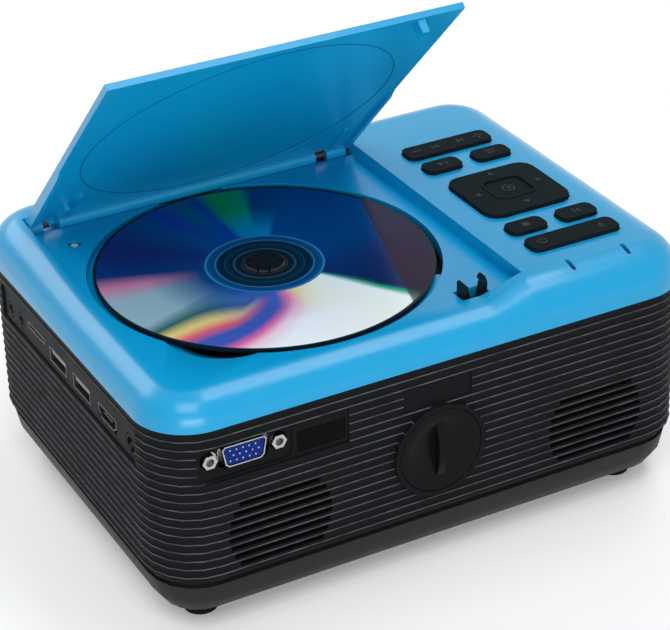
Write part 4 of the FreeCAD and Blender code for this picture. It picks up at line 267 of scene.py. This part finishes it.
def plastic(name, colour, rough, grain=0.0, grain_scale=900.0, coat=0.0, spread=0.04,
            specular=0.5, crest=None, even=0.045):
    """Moulded plastic: a tone and a gloss that vary by spread and even, a fine grain, and a
    painted highlight in the crest colour, patchy at random, on faces that face up."""
    n = Nodes(name)
    shades = [(0.3, scaled(colour, 1 - spread)), (0.7, scaled(colour, 1 + spread))]
    tone = n.ramp(n.noise(35.0, 4.0), shades)
    if crest:
        # Painted highlight: faces that face up, patchy at random, take the crest colour
        highlight_mask = n.ramp(n.facing_up(), [(0.35, 0), (0.60, 1), (0.90, 1), (0.97, 0)])
        highlight_patches = n.ramp(n.noise(220.0), [(0.30, 0.45), (0.65, 1)])
        tone = n.mix(n.math("MULTIPLY", highlight_mask, highlight_patches), tone, crest)
    n.feed("Base Color", tone)
    glosses = [(0.25, max(rough - even, 0.02)), (0.75, min(rough + even, 1))]
    n.feed("Roughness", n.ramp(n.noise(60.0, 2.0), glosses))
    n.fix(Specular_IOR_Level=specular, Coat_Weight=coat, Coat_Roughness=0.04)
    if grain:
        n.bump(n.noise(grain_scale * 4, 2.0), grain, 0.06 * MM)
    return n.mat


def band_material():
    """Ribbed band, nearly black, with a painted highlight: a thin pale line on the up-facing flank
    at each crest.
    """
    n = Nodes(plastic("band_plastic", BLACK, 0.50, grain=0.25, specular=0.03))
    height = n.axes(n.place())[2]
    rung = n.math("FRACT", n.math("DIVIDE", n.math("SUBTRACT", SEAM_Z, height), RIB_PITCH))
    line = n.ramp(rung, [(0.0, 0), (0.90, 0), (0.95, 1), (0.985, 1), (1.0, 0.4)])
    flank = n.ramp(n.facing_up(), [(0.20, 0), (0.45, 1), (0.93, 1), (0.98, 0)])
    highlight_patches = n.ramp(n.noise(160.0), [(0.30, 0.35), (0.65, 1)])
    # Painted highlight: a thin line at each crest on faces that face up, patchy at random
    highlight_mask = n.math("MULTIPLY", n.math("MULTIPLY", line, flank), highlight_patches)
    tone = n.bsdf.inputs["Base Color"].links[0].from_socket
    n.feed("Base Color", n.mix(highlight_mask, tone, RIB_HIGHLIGHT))
    return n.mat


def metal(name, colour, rough):
    n = Nodes(name)
    n.fix(Metallic=1.0)
    n.feed("Base Color", n.ramp(n.noise(120.0), [(0.3, scaled(colour, 0.88)), (0.7, colour)]))
    glosses = [(0.3, max(rough - 0.08, 0.03)), (0.7, rough + 0.08)]
    n.feed("Roughness", n.ramp(n.noise(400.0, 4.0), glosses))
    return n.mat


def glass(name, colour):
    n = Nodes(name)
    n.feed("Base Color", n.ramp(n.noise(20.0), [(0.4, colour), (0.6, scaled(colour, 0.9))]))
    n.fix(Transmission_Weight=0.9, Roughness=0.03)
    return n.mat


def disc_material():
    """Pressed disc: dark clear hub, printed rings, and a fan of colours on its tracks, with
    painted reflections and painted rainbow sheen.
    """
    n = Nodes("disc_mirror")
    place = n.axes(n.place())
    x, y = n.math("SUBTRACT", place[0], DISC.x), n.math("SUBTRACT", place[1], DISC.y)
    square = n.math("ADD", n.math("MULTIPLY", x, x), n.math("MULTIPLY", y, y))
    radius = n.math("DIVIDE", n.math("SQRT", square), MM)
    turn = n.math("ADD", n.math("DIVIDE", n.math("ARCTAN2", y, x), 2 * math.pi), 0.5)

    # Fan of colours with painted reflections and rainbow sheen: rim over core, with the bands
    # beside the white wedge swept back near the hub
    out = n.math("DIVIDE", n.math("SUBTRACT", radius, DATA_R), DISC_R - DATA_R, clamp=True)
    lag = n.math("MULTIPLY", n.math("SUBTRACT", 1.0, out), SWEEP)
    swept = n.ramp(turn, [(0.06, 0), (0.14, 1), (0.26, 1), (0.345, 0)])
    bent = n.math("SUBTRACT", turn, n.math("MULTIPLY", swept, lag))
    rim = n.ramp(bent, [(at, srgb(*colour)) for at, colour in RIM_FAN])
    core = n.ramp(turn, [(at, srgb(*colour)) for at, colour in CORE_FAN])
    tracks = n.mix(n.ramp(out, [(0.05, 0), (0.55, 1)]), core, rim)

    # Dark reflection beyond the chord
    across = n.math("ADD", n.math("MULTIPLY", place[0], math.cos(CHORD_TURN)),
                    n.math("MULTIPLY", place[1], math.sin(CHORD_TURN)))
    reach = n.math("DIVIDE", n.math("SUBTRACT", across, CHORD_AT), MM)
    beyond = n.math("MULTIPLY", reach, CHORD_STEEP, clamp=True)
    tracks = n.mix(beyond, tracks, n.mix(CHORD_DEPTH, tracks, CHORD_SHADE))

    # Hub inside the tracks, clear rim outside them
    scale = 1 / HUB_SPAN
    hub = n.ramp(n.math("MULTIPLY", radius, scale),
                 [(at * scale, srgb(*colour)) for at, colour in HUB_RINGS])
    surface = n.mix(n.math("GREATER_THAN", radius, DATA_R), hub, tracks)
    past = n.math("SUBTRACT", radius, CLEAR_R)
    edge = n.math("MULTIPLY", past, CLEAR_STEEP, clamp=True)
    n.feed("Base Color", n.mix(edge, surface, CLEAR_RIM))
    n.feed("Roughness", n.ramp(n.noise(40.0, 2.0), [(0.3, 0.16), (0.7, 0.22)]))
    n.fix(Metallic=0.06, Specular_IOR_Level=0.06, Coat_Weight=0.03, Coat_Roughness=0.02)
    n.bump(n.math("SINE", n.math("MULTIPLY", radius, TRACK_WAVE)), 0.05, 0.01 * MM)
    return n.mat


# By slot of the record
MATERIALS = {
    "blue_gloss": plastic("blue_gloss", BLUE, 0.30, coat=0.12, spread=0.012, specular=0.38,
                          even=0.012),
    # Black plastic with a painted highlight on faces that face up
    "black_plastic": plastic("black_plastic", BLACK, 0.48, grain=0.25, specular=0.05,
                             crest=UP_HIGHLIGHT),
    "key_plastic": plastic("key_plastic", srgb(22, 30, 34), 0.62, grain=0.35, specular=0.02),
    "disc_mirror": disc_material(),
    "steel": metal("steel", (0.055, 0.06, 0.065), 0.42),
    "bright_metal": metal("bright_metal", (0.52, 0.51, 0.49), 0.24),
    "aluminium": metal("aluminium", (0.55, 0.56, 0.57), 0.35),
    "rubber": plastic("rubber", srgb(14, 14, 15), 0.85, grain=0.35, specular=0.15),
    "board_green": plastic("board_green", srgb(24, 74, 42), 0.40, grain=0.15,
                           grain_scale=300.0),
    "lens_glass": glass("lens_glass", (0.86, 0.92, 0.95)),
    "dark_window": plastic("dark_window", srgb(10, 7, 9), 0.20, coat=0.02, spread=0.1,
                           specular=0.03),
    "light_pipe": plastic("light_pipe", srgb(6, 34, 92), 0.22, coat=0.3, specular=0.3),
    "socket_blue": plastic("socket_blue", srgb(10, 40, 116), 0.45, grain=0.15, specular=0.08),
    "white_plastic": plastic("white_plastic", srgb(205, 207, 212), 0.45, grain=0.15),
    "grey_plastic": plastic("grey_plastic", srgb(52, 54, 57), 0.50, grain=0.2),
    "paper_cone": plastic("paper_cone", srgb(22, 21, 20), 0.90, grain=0.6, specular=0.1),
}
LATCH_BLACK = plastic("latch_black", srgb(8, 14, 17), 0.35, specular=0.25, spread=0.1)
SOCKET_METAL = metal("socket_metal", (0.16, 0.16, 0.17), 0.36)
# By node, where it differs from the others of its slot
FINISHES = {
    "side_band": band_material(),
    # Base: the same black plastic painted lighter, as a painted sheen
    "bottom_cover": plastic("base_plastic", srgb(38, 40, 42), 0.45, grain=0.2, specular=0.08),
    "keystone_dial": plastic("dial_gloss", srgb(15, 17, 18), 0.26, coat=0.03, specular=0.05,
                             spread=0.1),
    "focus_ring": plastic("ring_black", srgb(16, 16, 18), 0.32, grain=0.2, specular=0.3),
    "latch_body": LATCH_BLACK,
    "latch_plunger": LATCH_BLACK,
    "latch_jaw_left": LATCH_BLACK,
    "latch_jaw_right": LATCH_BLACK,
    "card_socket": SOCKET_METAL,
    "usb_sockets": SOCKET_METAL,
    "hdmi_socket": SOCKET_METAL,
}
# Of the fine pieces
LINE_DARK = plastic("lid_line_dark", srgb(4, 92, 138), 0.35, specular=0.2)
LINE_PALE = plastic("lid_line_pale", srgb(40, 150, 196), 0.30, specular=0.3)
MARK_GREY = plastic("key_mark", srgb(36, 42, 45), 0.5, grain=0.2, specular=0.12)


# ---------------------------------------------------------------- CAD nodes

def smoothing():
    """Geometry nodes that join the facets of the CAD and smooth all but its real edges."""
    tree = bpy.data.node_groups.new("smooth_edges", "GeometryNodeTree")
    for way in ("INPUT", "OUTPUT"):
        tree.interface.new_socket("Geometry", in_out=way, socket_type="NodeSocketGeometry")
    start, end = tree.nodes.new("NodeGroupInput"), tree.nodes.new("NodeGroupOutput")
    strip = tree.nodes.new("GeometryNodeRemoveAttribute")
    strip.inputs["Name"].default_value = "custom_normal"
    weld = tree.nodes.new("GeometryNodeMergeByDistance")
    weld.inputs["Distance"].default_value = WELD
    soft = tree.nodes.new("GeometryNodeSetShadeSmooth")
    soft.domain = "FACE"
    soft.inputs["Shade Smooth"].default_value = True
    angle = tree.nodes.new("GeometryNodeInputMeshEdgeAngle")
    wide = tree.nodes.new("FunctionNodeCompare")
    wide.operation = "GREATER_THAN"
    wide.inputs[1].default_value = math.radians(SMOOTH_DEG)
    sharp = tree.nodes.new("GeometryNodeSetShadeSmooth")
    sharp.domain = "EDGE"
    sharp.inputs["Shade Smooth"].default_value = False
    for a, b in ((start, strip), (strip, weld), (weld, soft), (soft, sharp), (sharp, end),
                 (angle, wide)):
        tree.links.new(a.outputs[0], b.inputs[0])
    tree.links.new(wide.outputs[0], sharp.inputs["Selection"])
    return tree


def dress_nodes():
    slots = {part["node"]: part["material_slot"] for part in frame["record"]["subparts"]}
    tree = smoothing()
    for name, node in frame["nodes"].items():
        node.data.materials.clear()
        node.data.materials.append(FINISHES.get(name) or MATERIALS[slots[name]])
        node.modifiers.new("smooth", "NODES").node_group = tree


# ---------------------------------------------------------------- fine pieces

def new_piece(name, bm, material, body):
    mesh = bpy.data.meshes.new(name)
    bm.to_mesh(mesh)
    bm.free()
    mesh.materials.append(material)
    piece = bpy.data.objects.new(name, mesh)
    bpy.context.scene.collection.objects.link(piece)
    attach(piece, body)


def tube(bm, rows, whole=False):
    """Skin round a run of matching rings of points, joined into a loop or capped at its ends."""
    rings = [[bm.verts.new(point) for point in row] for row in rows]
    for a, b in list(zip(rings, rings[1:])) + ([(rings[-1], rings[0])] if whole else []):
        for i in range(len(a)):
            j = (i + 1) % len(a)
            bm.faces.new((a[i], a[j], b[j], b[i]))
    if not whole:
        bm.faces.new(rings[0])
        bm.faces.new(rings[-1][::-1])
    bmesh.ops.recalc_face_normals(bm, faces=bm.faces)


def seam_strip():
    """Dark lip behind the gap between band and base, which shuts out light from the air inlets."""
    rows = []
    for corner, (sx, sy) in enumerate(CORNERS):
        x, y = sx * (BODY_L / 2 - BODY_R), sy * (BODY_W / 2 - BODY_R)
        for step in range(CORNER_STEPS + 1):
            angle = math.radians(90 * (corner + step / CORNER_STEPS))
            rows.append([(x + r * math.cos(angle), y + r * math.sin(angle), z) for r, z in (
                (BODY_R - LIP_IN, LIP_LOW), (BODY_R - LIP_IN, LIP_HIGH),
                (BODY_R - LIP_IN - LIP_T, LIP_HIGH), (BODY_R - LIP_IN - LIP_T, LIP_LOW))])
    bm = bmesh.new()
    tube(bm, rows, whole=True)
    new_piece("seam_strip", bm, MATERIALS["rubber"], "housing")


def vga_contacts():
    """Pale contact sockets in three staggered rows, let into the face of the insert."""
    bm = bmesh.new()
    for row in range(VGA_ROWS):
        stagger = VGA_STAGGER if row == 1 else -VGA_STAGGER
        for column in range(VGA_COLUMNS):
            x = VGA.x + ((column - VGA_COLUMNS // 2) * VGA_PITCH + stagger) * MM
            z = VGA.z + (VGA_ROWS // 2 - row) * VGA_ROW_PITCH * MM
            place = Matrix.Translation((x, VGA.y, z)) @ Matrix.Rotation(math.pi / 2, 4, "X")
            bmesh.ops.create_cone(bm, cap_ends=True, segments=CONTACT_SIDES,
                                  radius1=CONTACT_OUTER_R * MM, radius2=CONTACT_INNER_R * MM,
                                  depth=CONTACT_DEPTH * MM, matrix=place)
    new_piece("vga_contacts", bm, MATERIALS["bright_metal"], "housing")


def bar(x, y, w, h):
    return [(x - w / 2, y - h / 2), (x + w / 2, y - h / 2),
            (x + w / 2, y + h / 2), (x - w / 2, y + h / 2)]


def arrow(x, y, size, heading):
    """Triangle that points along the heading, in degrees."""
    turns = [math.radians(heading) + k * 2 * math.pi / 3 for k in range(3)]
    return [(x + size * math.cos(turn), y + size * math.sin(turn)) for turn in turns]


def ring(x, y, r, w, start, end):
    """Ring or open ring as a run of short quads."""
    angles = [math.radians(start + (end - start) * k / RING_STEPS) for k in range(RING_STEPS + 1)]
    return [[(x + q * math.cos(a), y + q * math.sin(a))
             for q, a in ((r, a0), (r, a1), (r - w, a1), (r - w, a0))]
            for a0, a1 in zip(angles, angles[1:])]


def marks(name, body, shapes, top=KEY_TOP):
    """Thin raised marks on a key, from outlines in mm."""
    bm = bmesh.new()
    for outline in shapes:
        tube(bm, [[(x * MM, y * MM, z) for x, y in outline]
                  for z in (top - MARK_SINK, top + MARK_H)])
    new_piece(name, bm, MARK_GREY, body)


def key_marks():
    """Generic marks: minus, back, on, plus, play, menu, arrows, stop, pause, power and eject."""
    y = TOP_BAR_Y
    marks("marks_top_bar", "key_top_bar", [
        bar(55, y, 4, 0.7),
        arrow(63.5, y, 1.4, 180), bar(61.7, y, 0.6, 2.4),
        arrow(73, y, 1.4, 0), bar(74.8, y, 0.6, 2.4),
        bar(81.5, y, 4, 0.7), bar(81.5, y, 0.7, 4)])
    y = TOP_KEYS_Y
    marks("marks_top_left", "key_top_left", [arrow(56.8, y, 1.5, 0), bar(59.4, y, 0.7, 2.6)])
    marks("marks_top_right", "key_top_right",
          [bar(78.5, y + k, 3.6, 0.5) for k in (-1.2, 0, 1.2)])
    marks("marks_dpad", "dpad",
          [arrow(PAD_X + PAD_ARROWS_R * math.cos(a), PAD_Y + PAD_ARROWS_R * math.sin(a), 1.5,
                 math.degrees(a)) for a in (0, math.pi / 2, math.pi, 3 * math.pi / 2)])
    marks("marks_ok", "ok_key",
          [*ring(OK_X, OK_Y, 2.6, 0.6, 0, 360), arrow(OK_X + 0.2, OK_Y, 1.2, 0)], top=OK_TOP)
    y = BOTTOM_KEYS_Y
    marks("marks_bottom_left", "key_bottom_left", [bar(57.9, y, 2.6, 2.6)])
    marks("marks_bottom_right", "key_bottom_right",
          [bar(78.0, y, 0.7, 2.8), bar(79.8, y, 0.7, 2.8)])
    y = BOTTOM_BAR_Y
    marks("marks_bottom_bar", "key_bottom_bar", [
        *ring(56, y, 1.9, 0.55, 125, 415), bar(56, y + 1.2, 0.55, 2.2),
        arrow(80.2, y, 1.4, 90), bar(80.2, y - 1.6, 2.8, 0.5)])


def lid_line(name, radius, width, start, end, material):
    """Line moulded on the inside of the lid, round its middle: an arc, or a ring where it is a
    full turn."""
    out = Vector((0, math.sin(LID_OPEN), math.cos(LID_OPEN)))
    up = Vector((0, -math.cos(LID_OPEN), math.sin(LID_OPEN)))
    whole = end - start >= 360
    count = max(int((end - start) / LINE_STEP), 4)
    rows = []
    for k in range(count if whole else count + 1):
        angle = math.radians(start + (end - start) * k / count)
        row = []
        for r, lift in ((radius, LINE_SINK), (radius, -LINE_H),
                        (radius - width, -LINE_H), (radius - width, LINE_SINK)):
            along = LID_MIDDLE + r * math.sin(angle)
            inner = LID_INNER - LID_TAPER * along + lift
            side = Vector((LID_MIDDLE_X + r * math.cos(angle), 0, 0))
            row.append(HINGE + (up * along + out * inner + side) * MM)
        rows.append(row)
    bm = bmesh.new()
    tube(bm, rows, whole)
    new_piece(name, bm, material, "lid")


# ---------------------------------------------------------------- stage, light, camera

def seen(tree):
    """1 where the camera, a reflection or glass looks at the backdrop, 0 for the light that it
    throws."""
    path = tree.nodes.new("ShaderNodeLightPath")
    total = path.outputs["Is Camera Ray"]
    for ray in ("Is Glossy Ray", "Is Transmission Ray"):
        either = tree.nodes.new("ShaderNodeMath")
        either.operation = "MAXIMUM"
        tree.links.new(total, either.inputs[0])
        tree.links.new(path.outputs[ray], either.inputs[1])
        total = either.outputs[0]
    return total


def make_stage():
    """Pale floor: part of its white is its own, so that it stays white under modest lamps and
    keeps the shadow."""
    bpy.ops.mesh.primitive_plane_add(size=FLOOR_SIZE, location=(0, 0, FLOOR_Z))
    floor = bpy.context.object
    floor.name = "floor"
    n = Nodes("floor_white")
    whites = [(0.3, (0.82, 0.82, 0.825)), (0.7, (0.85, 0.85, 0.855))]
    n.feed("Base Color", n.ramp(n.noise(3.0), whites))
    n.fix(Roughness=0.45, Specular_IOR_Level=0.2)
    white = n.add("ShaderNodeEmission")
    distance = n.add("ShaderNodeVectorMath", operation="LENGTH")
    n.link(n.place(), distance.inputs[0])
    past = n.math("SUBTRACT", distance.outputs["Value"], FLOOR_NEAR)
    far = n.math("MULTIPLY", past, 1 / FLOOR_FADE, clamp=True)
    own = n.math("ADD", n.math("MULTIPLY", far, 1 - FLOOR_WHITE), FLOOR_WHITE)
    n.link(n.math("MULTIPLY", seen(n.tree), own), white.inputs["Strength"])
    blend = n.add("ShaderNodeAddShader")
    n.link(n.bsdf.outputs[0], blend.inputs[0])
    n.link(white.outputs[0], blend.inputs[1])
    n.link(blend.outputs[0], n.tree.nodes["Material Output"].inputs["Surface"])
    floor.data.materials.append(n.mat)


def make_world():
    """Modest light from all round, behind which the backdrop looks white."""
    world = bpy.data.worlds.new("studio")
    bpy.context.scene.world = world
    world.use_nodes = True
    tree = world.node_tree
    light = tree.nodes["Background"]
    white = tree.nodes.new("ShaderNodeBackground")
    for node, colour, strength in ((light, WORLD_TINT, WORLD_LIGHT), (white, (1, 1, 1), 1.0)):
        node.inputs["Color"].default_value = (*colour, 1)
        node.inputs["Strength"].default_value = strength
    both = tree.nodes.new("ShaderNodeMixShader")
    tree.links.new(seen(tree), both.inputs[0])
    tree.links.new(light.outputs[0], both.inputs[1])
    tree.links.new(white.outputs[0], both.inputs[2])
    tree.links.new(both.outputs[0], tree.nodes["World Output"].inputs[0])


def area_light(name, at, target, size, power):
    data = bpy.data.lights.new(name, "AREA")
    data.shape = "RECTANGLE"
    data.size, data.size_y = size
    data.energy = power
    lamp = bpy.data.objects.new(name, data)
    bpy.context.scene.collection.objects.link(lamp)
    lamp.location = at
    lamp.rotation_euler = (Vector(target) - Vector(at)).to_track_quat("-Z", "Y").to_euler()


def make_camera():
    data = bpy.data.cameras.new("camera")
    camera = bpy.data.objects.new("camera", data)
    bpy.context.scene.collection.objects.link(camera)
    data.sensor_width, data.lens = CAMERA_SENSOR, CAMERA_LENS
    data.clip_start, data.clip_end = CAMERA_NEAR, CAMERA_FAR
    look = CAMERA_LOOK.normalized()
    level = look.cross(Vector((0, 0, 1))).normalized()
    upright = level.cross(look)
    c, s = math.cos(CAMERA_ROLL), math.sin(CAMERA_ROLL)
    turn = Matrix((c * level + s * upright, c * upright - s * level, -look)).transposed()
    camera.matrix_world = Matrix.Translation(CAMERA_AT) @ turn.to_4x4()
    bpy.context.scene.camera = camera


# ---------------------------------------------------------------- the scene

dress_nodes()
lid_line("lid_ring", 58.0, 0.45, 0, 360, LINE_DARK)
lid_line("lid_arc_left", 61.0, 0.35, 205, 250, LINE_PALE)
lid_line("lid_arc_right", 61.0, 0.35, 290, 318, LINE_PALE)
vga_contacts()
seam_strip()
key_marks()

make_stage()
make_world()
for name, settings in LAMPS.items():
    area_light(name, *settings)
make_camera()
bpy.context.scene.view_settings.view_transform = "Standard"
